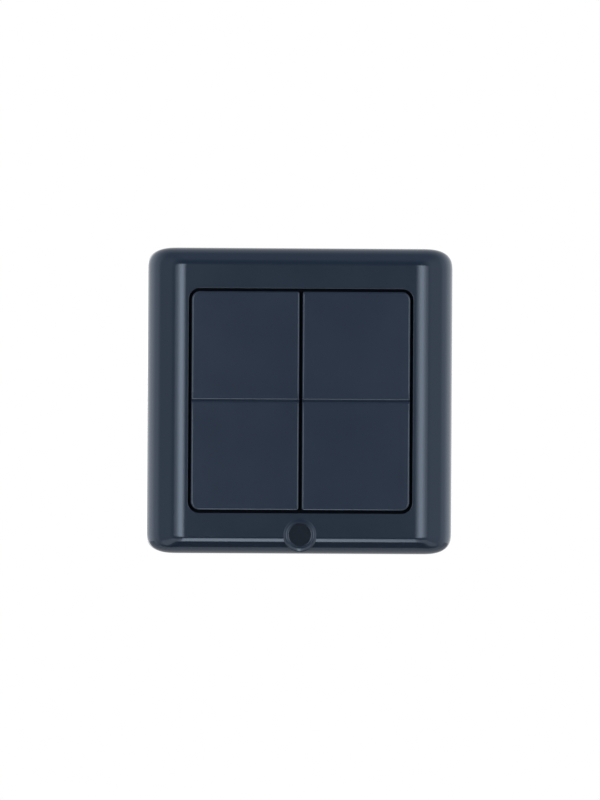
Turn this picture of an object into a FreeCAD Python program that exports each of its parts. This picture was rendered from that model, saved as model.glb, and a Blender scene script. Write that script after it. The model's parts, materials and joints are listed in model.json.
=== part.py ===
import FreeCAD, Part
import math
import os

# Wireless wall switch with two rockers in a square frame.
# Lengths are in millimetres. X is to the right, Z is up, and the wall is the plane Y = 0.
# The switch faces -Y. A depth is a distance from the wall towards the room, so Y = -depth.

V = FreeCAD.Vector

# How far pieces that are joined reach into each other, and how far a cut runs past a face
join_depth = 0.2
cut_past = 1.0

# Frame outline and its raised face, measured from the photograph
frame_side = 80.0
frame_border = 10.6
frame_corner_radius = 4.9
wing_width = 7.9
wing_slope = 20.0
wing_crease_radius = 11.7
brow_width = 3.6
brow_slope = 40.0
brow_crease_radius = 2.5
rim_radius = 4.0
hip_radius = 0.8
rim_rings = 3
crease_rings = 3
frame_skin = 1.8
frame_wall_gap = 0.4
opening_corner_radius = 2.95
opening_edge_chamfer = 0.2
collar_wall = 1.3
frame_rib_width = 1.0
frame_rib_depth = 4.0

# Boss on the lower border of the frame
boss_radius = 4.3
boss_height = -35.0
boss_proud = 0.3
boss_edge_chamfer = 0.4
boss_recess_radius = 3.1
boss_recess_depth = 0.3
boss_clearance = 0.1

# Snap tongues behind the frame, which hook under the carrier
tongue_width = 8.0
tongue_thickness = 1.2
tongue_spacing = 36.0
tongue_clearance = 0.2
tongue_hook = 0.7
tongue_hook_height = 0.9
tongue_hook_gap = 0.05

# Rockers
rocker_gap = 0.8
rocker_proud = 0.2
rocker_plate = 1.8
rocker_skirt = 0.9
rocker_wall = 1.2
rocker_corner_radius = 2.15
rocker_inner_corner_radius = 0.6
rocker_edge_chamfer = 0.3
groove_width = 0.9
groove_depth = 0.4
rocker_rib_width = 0.8
rocker_rib_height = 0.6
rocker_rib_spread = 6.0
rocker_rib_pitch = 20.0
tilt_limit = 2.0
stop_clearance = 0.3

# Rocker bearings: pins on the rocker, open cheeks on the carrier
pin_radius = 0.9
pin_play = 0.05
pin_length = 1.6
lug_radius = 1.1
lug_thickness = 1.6
lug_spread = 11.0
lug_clearance = 0.2
cheek_rise = 0.6
cheek_half_height = 2.0

# Rocker posts and the switches under them
press_arm = 12.0
post_reach = 1.4
post_web = 0.8
post_gap = 0.06
post_window_clearance = 0.9

# Carrier plate
carrier_thickness = 1.2
carrier_clearance = 0.5
carrier_corner_radius = 3.5
carrier_margin = 0.3
carrier_rib_width = 1.0
carrier_rib_length = 24.0
carrier_rib_clearance = 0.15
carrier_rib_gap = 0.05

# Rear housing
housing_inset = 6.0
housing_wall = 1.4
housing_floor = 1.2
housing_corner_radius = 4.0
housing_clearance = 0.2
case_boss_inset = 3.5
case_boss_half = 2.3
board_post_inset = 4.6
board_post_half = 2.2
board_pin_radius = 0.9
board_pin_rise = 0.8
board_pin_clearance = 0.15

# Battery door, a bayonet disc in the housing floor
door_radius = 12.0
door_clearance = 0.15
door_plug_radius = 11.0
door_plug_height = 0.55
door_lug_reach = 1.4
door_lug_angle = 24.0
door_lug_gap = 0.05
door_lug_count = 3
door_first_lug = 90.0
door_turn = 40.0
door_notch_clearance = 0.2
door_stop_width = 0.8
door_stop_clearance = 1.5
coin_slot_length = 12.0
coin_slot_width = 1.8
coin_slot_depth = 0.6

# Coin cell, its holder and contacts
cell_radius = 10.0
cell_thickness = 3.2
cell_step_radius = 8.9
cell_step_depth = 0.35
cell_gap = 0.05
contact_room = 0.5
holder_clearance = 0.25
holder_wall = 1.1
holder_length = 2.9
holder_window = 6.0
contact_thickness = 0.2
contact_width = 3.6
contact_touch_gap = 0.05
positive_foot_length = 2.6
positive_bulge = 0.15
negative_half_length = 7.0
negative_flat = 2.4

# Circuit board
board_thickness = 1.0
board_clearance = 0.5
board_notch_clearance = 0.6

# Tact switches
switch_side = 6.0
switch_height = 2.0
switch_floor = 0.5
switch_cover_thickness = 0.2
plunger_rise = 1.0
plunger_radius = 1.65
plunger_clearance = 0.07
plunger_flange_half = 2.0
plunger_flange_thickness = 0.3
plunger_flange_clearance = 0.15
plunger_end_clearance = 0.08
terminal_width = 0.7
terminal_thickness = 0.25
terminal_length = 1.1
terminal_spacing = 4.5

# Radio module
module_width = 12.0
module_height = 16.0
module_thickness = 0.8
shield_side = 10.0
shield_height = 1.15
shield_wall = 0.2
shield_inset = 5.8
chip_side = 6.0
chip_thickness = 0.8
antenna_length = 7.0
antenna_width = 2.0
antenna_thickness = 0.9
antenna_inset = 2.1

# Small parts soldered to the board, given as a side, an inset from the switches' feet, a height
# above the middle, and then the part's width, height and thickness
board_parts = [
    (-1, 4.4, 17.0, 3.2, 1.6, 1.0),
    (-1, 6.9, 10.5, 1.6, 0.8, 0.6),
    (1, 3.9, 16.5, 3.2, 1.5, 0.9),
    (-1, 2.9, -14.5, 5.0, 3.2, 1.2),
    (1, 5.9, -13.0, 1.6, 0.8, 0.6),
    (1, 2.9, -16.5, 2.5, 2.0, 0.9),
]

# Screws
case_screw_radius = 0.85
case_screw_length = 6.0
case_head_radius = 1.9
case_head_height = 0.6
screw_clearance = 0.05
screw_hole_clearance = 0.25
pilot_depth_margin = 0.6

# Wall plate
wall_plate_thickness = 1.8
wall_plate_clearance = 0.4
wall_plate_corner_radius = 2.9
wall_rim_width = 1.2
wall_rim_height = 1.8
box_screw_spacing = 60.0
box_slot_length = 6.6
box_slot_half_width = 1.9
latch_width = 8.0
latch_thickness = 1.2
latch_spacing = 30.0
latch_clearance = 0.2
latch_hook = 0.7
latch_hook_depth = 4.6
latch_hook_height = 1.2
latch_pocket_clearance = 0.15
guide_length = 6.0
guide_height = 1.4
guide_width = 1.0
level_notch = 1.0

# Sizes that follow from those above
half = frame_side / 2
opening_half = half - frame_border
rocker_height = 2 * opening_half - 2 * rocker_gap
rocker_width = (2 * opening_half - 3 * rocker_gap) / 2
rocker_centre = (rocker_gap + rocker_width) / 2
collar_half = opening_half + collar_wall
carrier_half = collar_half + carrier_margin
housing_half = carrier_half - housing_inset
housing_inner = housing_half - housing_wall
case_boss_place = housing_half - case_boss_inset
case_screw_places = [(-case_boss_place, case_boss_place), (case_boss_place, -case_boss_place)]
board_post_place = housing_inner - board_post_inset
board_half = housing_inner - board_clearance
wall_plate_half = half - frame_skin - wall_plate_clearance
feet_line = rocker_centre - switch_side / 2 - terminal_length
shield_place = shield_inset - module_height / 2
antenna_place = module_height / 2 - antenna_inset
switch_places = [(side * rocker_centre, up * press_arm) for side in (-1, 1) for up in (-1, 1)]

# Depths, stacked up from the wall
housing_rear = wall_plate_thickness + housing_clearance
floor_front = housing_rear + housing_floor
cell_rear = floor_front + door_plug_height + cell_gap
cell_front = cell_rear + cell_thickness
board_rear = cell_front + contact_room
board_front = board_rear + board_thickness
switch_front = board_front + switch_height
plunger_front = switch_front + plunger_rise
carrier_rear = switch_front + carrier_clearance
carrier_front = carrier_rear + carrier_thickness
tilt_drop = rocker_height / 2 * math.sin(math.radians(tilt_limit))
skirt_rear = carrier_front + stop_clearance + tilt_drop
plate_rear = skirt_rear + rocker_skirt
rocker_front = plate_rear + rocker_plate
frame_front = rocker_front - rocker_proud
pivot_depth = carrier_front + lug_clearance + lug_radius
plunger_travel = press_arm * math.radians(tilt_limit)


def on_wall(depth):
    """Places a flat outline, given across and up, at a depth."""
    return lambda p: V(p.x, -depth, p.y)


def level(z):
    """Places an outline, given across and in depth, at a height."""
    return lambda p: V(p.x, -p.y, z)


def upright(x):
    """Places an outline, given up and in depth, at a distance to the right."""
    return lambda p: V(x, -p.y, p.x)


def rounded_wire(corners, place):
    """Closed wire through corners (u, v, radius), each corner rounded to its radius."""
    count = len(corners)
    stretches = []
    for i, (u, v, radius) in enumerate(corners):
        here = V(u, v, 0)
        back = (V(*corners[i - 1][:2], 0) - here).normalize()
        ahead = (V(*corners[(i + 1) % count][:2], 0) - here).normalize()
        if radius <= 0:
            stretches.append((here, None, here))
            continue
        bend = back.getAngle(ahead) / 2
        reach = radius / math.tan(bend)
        middle = here + (back + ahead).normalize() * (radius / math.sin(bend) - radius)
        stretches.append((here + back * reach, middle, here + ahead * reach))
    edges = []
    for i, (start, middle, end) in enumerate(stretches):
        if middle is not None:
            edges.append(Part.Arc(place(start), place(middle), place(end)).toShape())
        following = stretches[(i + 1) % count][0]
        if end.distanceToPoint(following) > 1e-6:
            edges.append(Part.makeLine(place(end), place(following)))
    return Part.Wire(edges)


def rectangle(half_width, half_height, radius, centre=(0.0, 0.0)):
    """Corners of a rounded rectangle."""
    x, z = centre
    return [
        (x - half_width, z - half_height, radius),
        (x + half_width, z - half_height, radius),
        (x + half_width, z + half_height, radius),
        (x - half_width, z + half_height, radius),
    ]


def slab(corners, rear, front):
    """Solid of an outline that lies parallel to the wall, from one depth to another."""
    face = Part.Face(rounded_wire(corners, on_wall(rear)))
    return face.extrude(V(0, rear - front, 0))


def block(x0, x1, z0, z1, rear, front):
    """Rectangular solid between two sides, two heights and two depths."""
    return Part.makeBox(x1 - x0, front - rear, z1 - z0, V(x0, -front, z0))


def rod(radius, rear, front, centre=(0.0, 0.0)):
    """Cylinder square to the wall."""
    return Part.makeCylinder(radius, front - rear, V(centre[0], -rear, centre[1]), V(0, -1, 0))


def turned(outline, centre=(0.0, 0.0)):
    """Solid turned about a line square to the wall, from an outline of (radius, depth)."""
    points = [V(centre[0] + r, -depth, centre[1]) for r, depth in outline]
    face = Part.Face(Part.makePolygon(points + points[:1]))
    return face.revolve(V(centre[0], 0, centre[1]), V(0, 1, 0), 360)


def joined(shapes):
    """One solid from shapes that touch or overlap."""
    first, *others = shapes
    return first.multiFuse(others).removeSplitter() if others else first


def turned_copies(shape, angles):
    """Copies of a shape, each turned about the middle of the switch."""
    copies = []
    for angle in angles:
        copy = shape.copy()
        copy.rotate(V(0, 0, 0), V(0, 1, 0), angle)
        copies.append(copy)
    return copies


def four_corners(place):
    """Centres at the four corners of a square."""
    return [(x, z) for x in (-place, place) for z in (-place, place)]


def edges_at(shape, depth, inside=None):
    """Edges that lie wholly at one depth, and where asked within half a square."""
    found = []
    for edge in shape.Edges:
        points = edge.discretize(7)
        if all(abs(-p.y - depth) < 1e-4 for p in points):
            if inside is None or all(max(abs(p.x), abs(p.z)) < inside for p in points):
                found.append(edge)
    return found


def half_width_at(depth, width, slope, crease_radius):
    """Half width of the frame at a depth, from its face's section on one axis."""
    angle = math.radians(slope)
    crease = half - width
    crease_reach = crease_radius * math.tan(angle / 2)
    crease_foot = frame_front - crease_reach * math.sin(angle)
    turn = math.radians(90 - slope)
    rim_depth = frame_front - width * math.tan(angle)
    rim_start = rim_depth - rim_radius * math.tan(turn / 2)
    rim_end = rim_depth + rim_radius * math.tan(turn / 2) * math.sin(angle)
    if depth <= rim_start:
        return half
    if depth <= rim_end:
        return half - rim_radius + math.sqrt(rim_radius**2 - (depth - rim_start) ** 2)
    if depth <= crease_foot:
        return crease + (frame_front - depth) / math.tan(angle)
    drop = crease_radius - (frame_front - depth)
    return crease - crease_reach + math.sqrt(max(crease_radius**2 - drop**2, 0.0))


def crown():
    """Outer form of the frame: upright sides, rounded rim, wings, brows and flat panel."""
    wing_drop = wing_width * math.tan(math.radians(wing_slope))
    crease_drop = wing_crease_radius * (1 - math.cos(math.radians(wing_slope)))
    rim_span = rim_radius * math.tan(math.radians((90 - wing_slope) / 2))
    rim_top = wing_drop - rim_span * math.sin(math.radians(wing_slope))
    drops = [frame_front - frame_wall_gap]
    drops += [
        rim_top + (wing_drop + rim_span - rim_top) * math.sin(math.radians(90 * (1 - i / rim_rings)))
        for i in range(rim_rings + 1)
    ]
    drops += [crease_drop * (1 - i / crease_rings) ** 2 for i in range(crease_rings + 1)]
    wires = []
    for drop in drops:
        depth = frame_front - drop
        across = half_width_at(depth, wing_width, wing_slope, wing_crease_radius)
        up = half_width_at(depth, brow_width, brow_slope, brow_crease_radius)
        share = (half - up) / brow_width
        radius = frame_corner_radius + (hip_radius - frame_corner_radius) * min(share, 1.0)
        wires.append(rounded_wire(rectangle(across, up, radius), on_wall(depth)))
    return Part.makeLoft(wires, True, True)


def cavity():
    """Hollow behind the frame's face: flat walls one skin inside the outer form."""
    reach = 2 * half
    edge = half - frame_skin

    def section(width, slope):
        angle = math.radians(slope)
        crease = half - width - frame_skin * math.tan(angle / 2)
        top = frame_front - frame_skin
        low = top - (edge - crease) * math.tan(angle)
        return [(-edge, -cut_past, 0), (-edge, low, 0), (-crease, top, 0),
                (crease, top, 0), (edge, low, 0), (edge, -cut_past, 0)]

    wings = Part.Face(rounded_wire(section(wing_width, wing_slope), level(-reach)))
    brows = Part.Face(rounded_wire(section(brow_width, brow_slope), upright(-reach)))
    sides = slab(rectangle(edge, edge, frame_corner_radius - frame_skin), -cut_past, frame_front)
    return wings.extrude(V(0, 0, 2 * reach)).common(brows.extrude(V(2 * reach, 0, 0))).common(sides)


def snap_tongue(along):
    """Tongue on the right side that hooks behind the carrier's edge, at one height."""
    inner = carrier_half + tongue_clearance
    outer = inner + tongue_thickness
    hook_front = carrier_rear - tongue_hook_gap
    hook_rear = hook_front - tongue_hook_height
    profile = [
        (inner, frame_front - frame_skin + join_depth, 0),
        (outer, frame_front - frame_skin + join_depth, 0),
        (outer, hook_rear, 0),
        (inner, hook_rear, 0),
        (inner - tongue_hook, hook_rear + tongue_hook_height / 2, 0),
        (inner - tongue_hook, hook_front, 0),
        (inner, hook_front, 0),
    ]
    face = Part.Face(rounded_wire(profile, level(along - tongue_width / 2)))
    return face.extrude(V(0, 0, tongue_width))


def frame_rib():
    """Stiffening rib at mid-height on the right side, from the tongue line to the outer wall."""
    inner = carrier_half + tongue_clearance
    outer = half - frame_skin / 2
    rear = frame_front - frame_skin - frame_rib_depth
    return block(inner, outer, -frame_rib_width / 2, frame_rib_width / 2, rear, frame_front)


def cover_frame():
    outer = crown()
    inside = []
    for shape in (frame_rib(), snap_tongue(-tongue_spacing / 2), snap_tongue(tongue_spacing / 2)):
        inside += turned_copies(shape, (0, 90, 180, 270))
    collar_radius = opening_corner_radius + collar_wall
    collar = rectangle(collar_half, collar_half, collar_radius)
    collar = slab(collar, carrier_front, frame_front - frame_skin / 2)
    shell = outer.cut(cavity())
    shell = joined([shell, collar] + [shape.common(outer) for shape in inside])
    boss_centre = (0.0, boss_height)
    boss_front = frame_front + boss_proud
    boss = rod(boss_radius, carrier_front + boss_clearance, boss_front, boss_centre)
    boss = boss.makeChamfer(boss_edge_chamfer, edges_at(boss, boss_front))
    shell = joined([shell, boss])
    recess = rod(boss_recess_radius, boss_front - boss_recess_depth, boss_front + cut_past, boss_centre)
    opening = rectangle(opening_half, opening_half, opening_corner_radius)
    shell = shell.cut(recess).cut(slab(opening, 0.0, frame_front + cut_past))
    rim = edges_at(shell, frame_front, opening_half + opening_edge_chamfer)
    return shell.makeChamfer(opening_edge_chamfer, rim)


def rocker(side):
    """One rocker, with side -1 for the left and 1 for the right."""
    centre = side * rocker_centre
    half_width = rocker_width / 2
    half_height = rocker_height / 2
    outline = []
    for x, z, corner in rectangle(half_width, half_height, 0.0, (centre, 0.0)):
        outward = (x - centre) * side > 0
        outline.append((x, z, rocker_corner_radius if outward else rocker_inner_corner_radius))
    body = slab(outline, skirt_rear, rocker_front)
    body = body.makeChamfer(rocker_edge_chamfer, edges_at(body, rocker_front))
    pocket = rectangle(half_width - rocker_wall, half_height - rocker_wall, 0.0, (centre, 0.0))
    body = body.cut(slab(pocket, skirt_rear - cut_past, plate_rear))
    groove = [
        (-groove_width / 2, rocker_front, 0),
        (0.0, rocker_front - groove_depth, 0),
        (groove_width / 2, rocker_front, 0),
        (groove_width / 2, rocker_front + cut_past, 0),
        (-groove_width / 2, rocker_front + cut_past, 0),
    ]
    cutter = Part.Face(rounded_wire(groove, upright(centre - rocker_width)))
    body = body.cut(cutter.extrude(V(2 * rocker_width, 0, 0)))
    return joined([body] + rocker_ribs(centre) + rocker_lugs(centre) + rocker_posts(centre))


def rocker_ribs(centre):
    """Stiffening ribs under the rocker's plate: two upright and a row across."""
    rear = plate_rear - rocker_rib_height
    top = plate_rear + join_depth
    half_rib = rocker_rib_width / 2
    inner_height = rocker_height / 2 - rocker_wall / 2
    inner_width = rocker_width / 2 - rocker_wall / 2
    ribs = []
    for x in (centre - rocker_rib_spread, centre + rocker_rib_spread):
        ribs.append(block(x - half_rib, x + half_rib, -inner_height, inner_height, rear, top))
    rows = int(inner_height / rocker_rib_pitch)
    for row in range(1, rows + 1):
        for z in (-row * rocker_rib_pitch, row * rocker_rib_pitch):
            x0, x1 = centre - inner_width, centre + inner_width
            ribs.append(block(x0, x1, z - half_rib, z + half_rib, rear, top))
    return ribs


def rocker_lugs(centre):
    """Two lugs with pins that point at each other and turn in the carrier's cheeks."""
    shapes = []
    for out in (-1, 1):
        inner = centre + out * (lug_spread - lug_thickness / 2)
        left = inner if out > 0 else inner - lug_thickness
        tip = Part.makeCylinder(lug_radius, lug_thickness, V(left, -pivot_depth, 0), V(1, 0, 0))
        stem_front = plate_rear + join_depth
        stem = block(left, left + lug_thickness, -lug_radius, lug_radius, pivot_depth, stem_front)
        root = V(inner + out * join_depth, -pivot_depth, 0)
        pin = Part.makeCylinder(pin_radius, pin_length + join_depth, root, V(-out, 0, 0))
        shapes += [tip, stem, pin]
    return shapes


def rocker_posts(centre):
    """Two posts with a cross for a section, just clear of the switch plungers."""
    tip = plunger_front + post_gap
    root = plate_rear + join_depth
    half_web = post_web / 2
    shapes = []
    for z in (-press_arm, press_arm):
        shapes.append(block(centre - post_reach, centre + post_reach, z - half_web, z + half_web, tip, root))
        shapes.append(block(centre - half_web, centre + half_web, z - post_reach, z + post_reach, tip, root))
    return shapes


def rocker_carrier():
    plate = slab(rectangle(carrier_half, carrier_half, carrier_corner_radius), carrier_rear, carrier_front)
    solids = [plate]
    rib_out = housing_inner - carrier_rib_clearance
    rib = block(
        rib_out - carrier_rib_width, rib_out, -carrier_rib_length / 2, carrier_rib_length / 2,
        board_front + carrier_rib_gap, carrier_rear + join_depth,
    )
    solids += turned_copies(rib, (0, 90, 180, 270))
    bores = []
    for side in (-1, 1):
        centre = side * rocker_centre
        for out in (-1, 1):
            lug_face = centre + out * (lug_spread - lug_thickness / 2)
            near, far = sorted((lug_face - out * lug_clearance, lug_face - out * pin_length))
            cheek_front = pivot_depth + cheek_rise
            cheek_rear = carrier_front - join_depth
            solids.append(block(near, far, -cheek_half_height, cheek_half_height, cheek_rear, cheek_front))
            start = V(near - join_depth, -pivot_depth, 0)
            length = far - near + 2 * join_depth
            bores.append(Part.makeCylinder(pin_radius + pin_play, length, start, V(1, 0, 0)))
    carrier = joined(solids)
    window = post_reach + post_window_clearance
    front = carrier_front + cut_past
    holes = [slab(rectangle(window, window, 0.0, place), 0.0, front) for place in switch_places]
    hole_radius = case_screw_radius + screw_hole_clearance
    holes += [rod(hole_radius, 0.0, front, place) for place in case_screw_places]
    for cutter in bores + holes:
        carrier = carrier.cut(cutter)
    return carrier


def case_screws():
    """Two pan-head screws, on a diagonal, that hold the carrier on the housing."""
    tip = carrier_front - case_screw_length
    front = carrier_front + case_head_height
    outline = [
        (0.0, tip), (case_screw_radius, tip), (case_screw_radius, carrier_front),
        (case_head_radius, carrier_front), (case_head_radius, front), (0.0, front),
    ]
    return [turned(outline, centre) for centre in case_screw_places]


def ring_sector(inner, outer, rear, front, start, sweep):
    """Part of a flat ring, from a start angle through a sweep, measured from +X towards +Z."""
    face = Part.Face(Part.makePolygon([
        V(inner, -rear, 0), V(outer, -rear, 0), V(outer, -front, 0), V(inner, -front, 0), V(inner, -rear, 0),
    ]))
    face.rotate(V(0, 0, 0), V(0, 1, 0), -start)
    return face.revolve(V(0, 0, 0), V(0, 1, 0), -sweep)


def door_lug_starts():
    """Start angle of each bayonet lug with the door locked."""
    step = 360.0 / door_lug_count
    return [door_first_lug + i * step - door_lug_angle / 2 for i in range(door_lug_count)]


def rear_housing():
    outer = slab(rectangle(housing_half, housing_half, housing_corner_radius), housing_rear, carrier_rear)
    inner_radius = housing_corner_radius - housing_wall
    hollow = rectangle(housing_inner, housing_inner, inner_radius)
    tub = outer.cut(slab(hollow, floor_front, carrier_rear + cut_past))
    tub = joined([tub] + case_bosses() + board_posts() + door_stops())
    case_tip = carrier_front - case_screw_length - pilot_depth_margin
    cutters = [rod(case_screw_radius + screw_clearance, case_tip, carrier_rear + cut_past, place)
               for place in case_screw_places]
    rear = housing_rear - cut_past
    front = floor_front + cut_past
    cutters.append(rod(door_radius + door_clearance, rear, front))
    notch_angle = door_lug_angle + 2 * math.degrees(door_notch_clearance / door_radius)
    notch_reach = door_radius + door_lug_reach + door_notch_clearance
    for start in door_lug_starts():
        begin = start - door_turn + (door_lug_angle - notch_angle) / 2
        cutters.append(ring_sector(door_plug_radius, notch_reach, rear, front, begin, notch_angle))
    for side in (-1, 1):
        for along in (-latch_spacing / 2, latch_spacing / 2):
            cutters.append(latch_pocket(side, along))
    for cutter in cutters:
        tub = tub.cut(cutter)
    return tub


def case_bosses():
    """Square bosses in the housing's corners that carry the carrier and take its screws."""
    near = case_boss_place - case_boss_half
    bosses = []
    for x, z in four_corners(1):
        x0, x1 = sorted((x * near, x * housing_inner))
        z0, z1 = sorted((z * near, z * housing_inner))
        bosses.append(block(x0, x1, z0, z1, floor_front - join_depth, carrier_rear))
    return bosses


def board_posts():
    """Square posts that carry the board, each with a pin through a hole of the board."""
    shapes = []
    for z in (-board_post_place, board_post_place):
        outline = rectangle(board_post_half, board_post_half, 0.0, (0.0, z))
        shapes.append(slab(outline, floor_front - join_depth, board_rear))
        shapes.append(rod(board_pin_radius, board_rear - join_depth, board_front + board_pin_rise, (0.0, z)))
    return shapes


def door_stops():
    """Two ribs on the housing floor that end the door's turn, one at each end of a lug's path."""
    inner = door_radius + door_clearance
    outer = door_radius + door_lug_reach + door_notch_clearance
    width = math.degrees(door_stop_width / door_radius)
    first = door_lug_starts()[0]
    ends = [
        first + door_lug_angle + door_stop_clearance,
        first - door_turn - door_stop_clearance - width,
    ]
    front = floor_front + door_plug_height
    rear = floor_front - join_depth
    return [ring_sector(inner + door_clearance, outer, rear, front, start, width) for start in ends]


def latch_pocket(side, along):
    """Blind pocket in the housing's side wall for a wall plate latch."""
    clear = latch_pocket_clearance
    depth = latch_hook - latch_clearance + clear
    x0, x1 = sorted((side * (housing_half - depth), side * (housing_half + cut_past)))
    half_width = latch_width / 2 + clear
    return block(x0, x1, along - half_width, along + half_width,
                 latch_hook_depth - clear, latch_hook_depth + latch_hook_height + clear)


def battery_door():
    disc = rod(door_radius, housing_rear, floor_front)
    plug_front = floor_front + door_plug_height
    plug = rod(door_plug_radius, floor_front - join_depth, plug_front)
    lug_root = door_plug_radius - join_depth
    lug_end = door_radius + door_lug_reach
    lug_rear = floor_front + door_lug_gap
    lugs = [ring_sector(lug_root, lug_end, lug_rear, plug_front, start, door_lug_angle)
            for start in door_lug_starts()]
    door = joined([disc, plug] + lugs)
    half_length = coin_slot_length / 2
    half_width = coin_slot_width / 2
    slot_front = housing_rear + coin_slot_depth
    slot_rear = housing_rear - cut_past
    return door.cut(block(-half_length, half_length, -half_width, half_width, slot_rear, slot_front))


def coin_cell():
    can_front = cell_front - cell_step_depth
    return turned([
        (0.0, cell_rear), (cell_radius, cell_rear), (cell_radius, can_front),
        (cell_step_radius, can_front), (cell_step_radius, cell_front), (0.0, cell_front),
    ])


def battery_holder():
    """Ring that keeps the cell in place, open on one side for the contact."""
    inner = cell_radius + holder_clearance
    outer = inner + holder_wall
    rear = board_rear - holder_length
    ring = turned([(inner, rear), (outer, rear), (outer, board_rear), (inner, board_rear)])
    half_window = holder_window / 2
    return ring.cut(block(0.0, outer + cut_past, -half_window, half_window,
                          rear - cut_past, board_rear + cut_past))


def strip(points, width):
    """Bent sheet strip from a closed outline given across and in depth, centred on height 0."""
    face = Part.Face(rounded_wire([(x, depth, 0) for x, depth in points], level(-width / 2)))
    return face.extrude(V(0, 0, width))


def positive_contact():
    """Side spring of the holder: a foot on the board and an arm along the cell's can."""
    near = cell_radius + contact_touch_gap
    arm = near + positive_bulge
    t = contact_thickness
    rear = board_rear - holder_length
    middle = (rear + board_rear) / 2
    toe = arm + t + positive_foot_length
    return strip([
        (arm, rear), (arm + t, rear), (near + t, middle), (arm + t, board_rear - 2 * t),
        (arm + t, board_rear - t), (toe, board_rear - t), (toe, board_rear), (arm, board_rear),
        (arm, board_rear - 2 * t), (near, middle),
    ], contact_width)


def negative_contact():
    """Leaf under the cell, bowed towards it between two soldered feet."""
    t = contact_thickness
    ends = negative_half_length
    top = cell_front + contact_touch_gap
    flat = negative_flat / 2
    foot = ends - negative_flat
    return strip([
        (-ends, board_rear), (-ends, board_rear - t), (-foot, board_rear - t), (-flat, top), (flat, top),
        (foot, board_rear - t), (ends, board_rear - t), (ends, board_rear), (foot, board_rear),
        (flat, top + t), (-flat, top + t), (-foot, board_rear),
    ], contact_width)


def circuit_board():
    board = slab(rectangle(board_half, board_half, 0.0), board_rear, board_front)
    notch = case_boss_place - case_boss_half - board_notch_clearance
    for x, z in four_corners(1):
        x0, x1 = sorted((x * notch, x * (board_half + cut_past)))
        z0, z1 = sorted((z * notch, z * (board_half + cut_past)))
        board = board.cut(block(x0, x1, z0, z1, 0.0, frame_front))
    for place in ((0.0, -board_post_place), (0.0, board_post_place)):
        board = board.cut(rod(board_pin_radius + board_pin_clearance, 0.0, frame_front, place))
    return board


def switch_body(centre):
    """Base of a tact switch with a square well for the plunger's foot."""
    front = switch_front - switch_cover_thickness
    side = switch_side / 2
    well = plunger_flange_half + plunger_flange_clearance
    body = slab(rectangle(side, side, 0.0, centre), board_front, front)
    return body.cut(slab(rectangle(well, well, 0.0, centre), board_front + switch_floor, front + cut_past))


def switch_cover(centre):
    """Steel plate over a tact switch, with a round hole for the plunger."""
    side = switch_side / 2
    cover = slab(rectangle(side, side, 0.0, centre), switch_front - switch_cover_thickness, switch_front)
    return cover.cut(rod(plunger_radius + plunger_clearance, 0.0, frame_front, centre))


def plunger(centre):
    """Button of a tact switch, held half pressed by its rocker."""
    foot = board_front + switch_floor + plunger_travel + plunger_end_clearance
    shoulder = foot + plunger_flange_thickness
    flange = slab(rectangle(plunger_flange_half, plunger_flange_half, 0.0, centre), foot, shoulder)
    return joined([flange, rod(plunger_radius, foot, plunger_front, centre)])


def switch_terminals():
    """Four soldered feet beside each tact switch."""
    feet = []
    for x, z in switch_places:
        for out in (-1, 1):
            near = x + out * switch_side / 2
            x0, x1 = sorted((near, near + out * terminal_length))
            for up in (-1, 1):
                middle = z + up * terminal_spacing / 2
                low, high = middle - terminal_width / 2, middle + terminal_width / 2
                feet.append(block(x0, x1, low, high, board_front, board_front + terminal_thickness))
    return feet


def radio_module():
    outline = rectangle(module_width / 2, module_height / 2, 0.0)
    return slab(outline, board_front, board_front + module_thickness)


def radio_chip():
    rear = board_front + module_thickness
    outline = rectangle(chip_side / 2, chip_side / 2, 0.0, (0.0, shield_place))
    return slab(outline, rear, rear + chip_thickness)


def radio_shield():
    """Sheet metal can, open towards the module."""
    rear = board_front + module_thickness
    centre = (0.0, shield_place)
    outer = slab(rectangle(shield_side / 2, shield_side / 2, 0.0, centre), rear, rear + shield_height)
    inner_half = shield_side / 2 - shield_wall
    inner = rectangle(inner_half, inner_half, 0.0, centre)
    return outer.cut(slab(inner, rear - cut_past, rear + shield_height - shield_wall))


def radio_antenna():
    rear = board_front + module_thickness
    centre = (0.0, antenna_place)
    return slab(rectangle(antenna_length / 2, antenna_width / 2, 0.0, centre), rear, rear + antenna_thickness)


def board_components():
    solids = []
    for side, inset, z, width, height, thickness in board_parts:
        outline = rectangle(width / 2, height / 2, 0.0, (side * (feet_line - inset), z))
        solids.append(slab(outline, board_front, board_front + thickness))
    return solids


def latch_arm(along):
    """Springy arm of the wall plate on the right side, with a hook that faces the housing."""
    inner = housing_half + latch_clearance
    outer = inner + latch_thickness
    hook_front = latch_hook_depth + latch_hook_height
    profile = [
        (outer, wall_plate_thickness - join_depth, 0),
        (inner, wall_plate_thickness - join_depth, 0),
        (inner, latch_hook_depth, 0),
        (inner - latch_hook, latch_hook_depth, 0),
        (inner - latch_hook, latch_hook_depth + latch_hook_height / 3, 0),
        (inner, hook_front, 0),
        (outer, hook_front, 0),
    ]
    face = Part.Face(rounded_wire(profile, level(along - latch_width / 2)))
    return face.extrude(V(0, 0, latch_width))


def box_slots():
    """Screw slots on the level and the upright line of a flush box."""
    place = box_screw_spacing / 2
    straight = box_slot_length / 2 - box_slot_half_width
    front = wall_plate_thickness + cut_past
    ends = [rod(box_slot_half_width, -cut_past, front, (place + x, 0.0)) for x in (-straight, straight)]
    middle = block(place - straight, place + straight, -box_slot_half_width, box_slot_half_width,
                   -cut_past, front)
    return turned_copies(joined(ends + [middle]), (0, 90, 180, 270))


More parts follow.
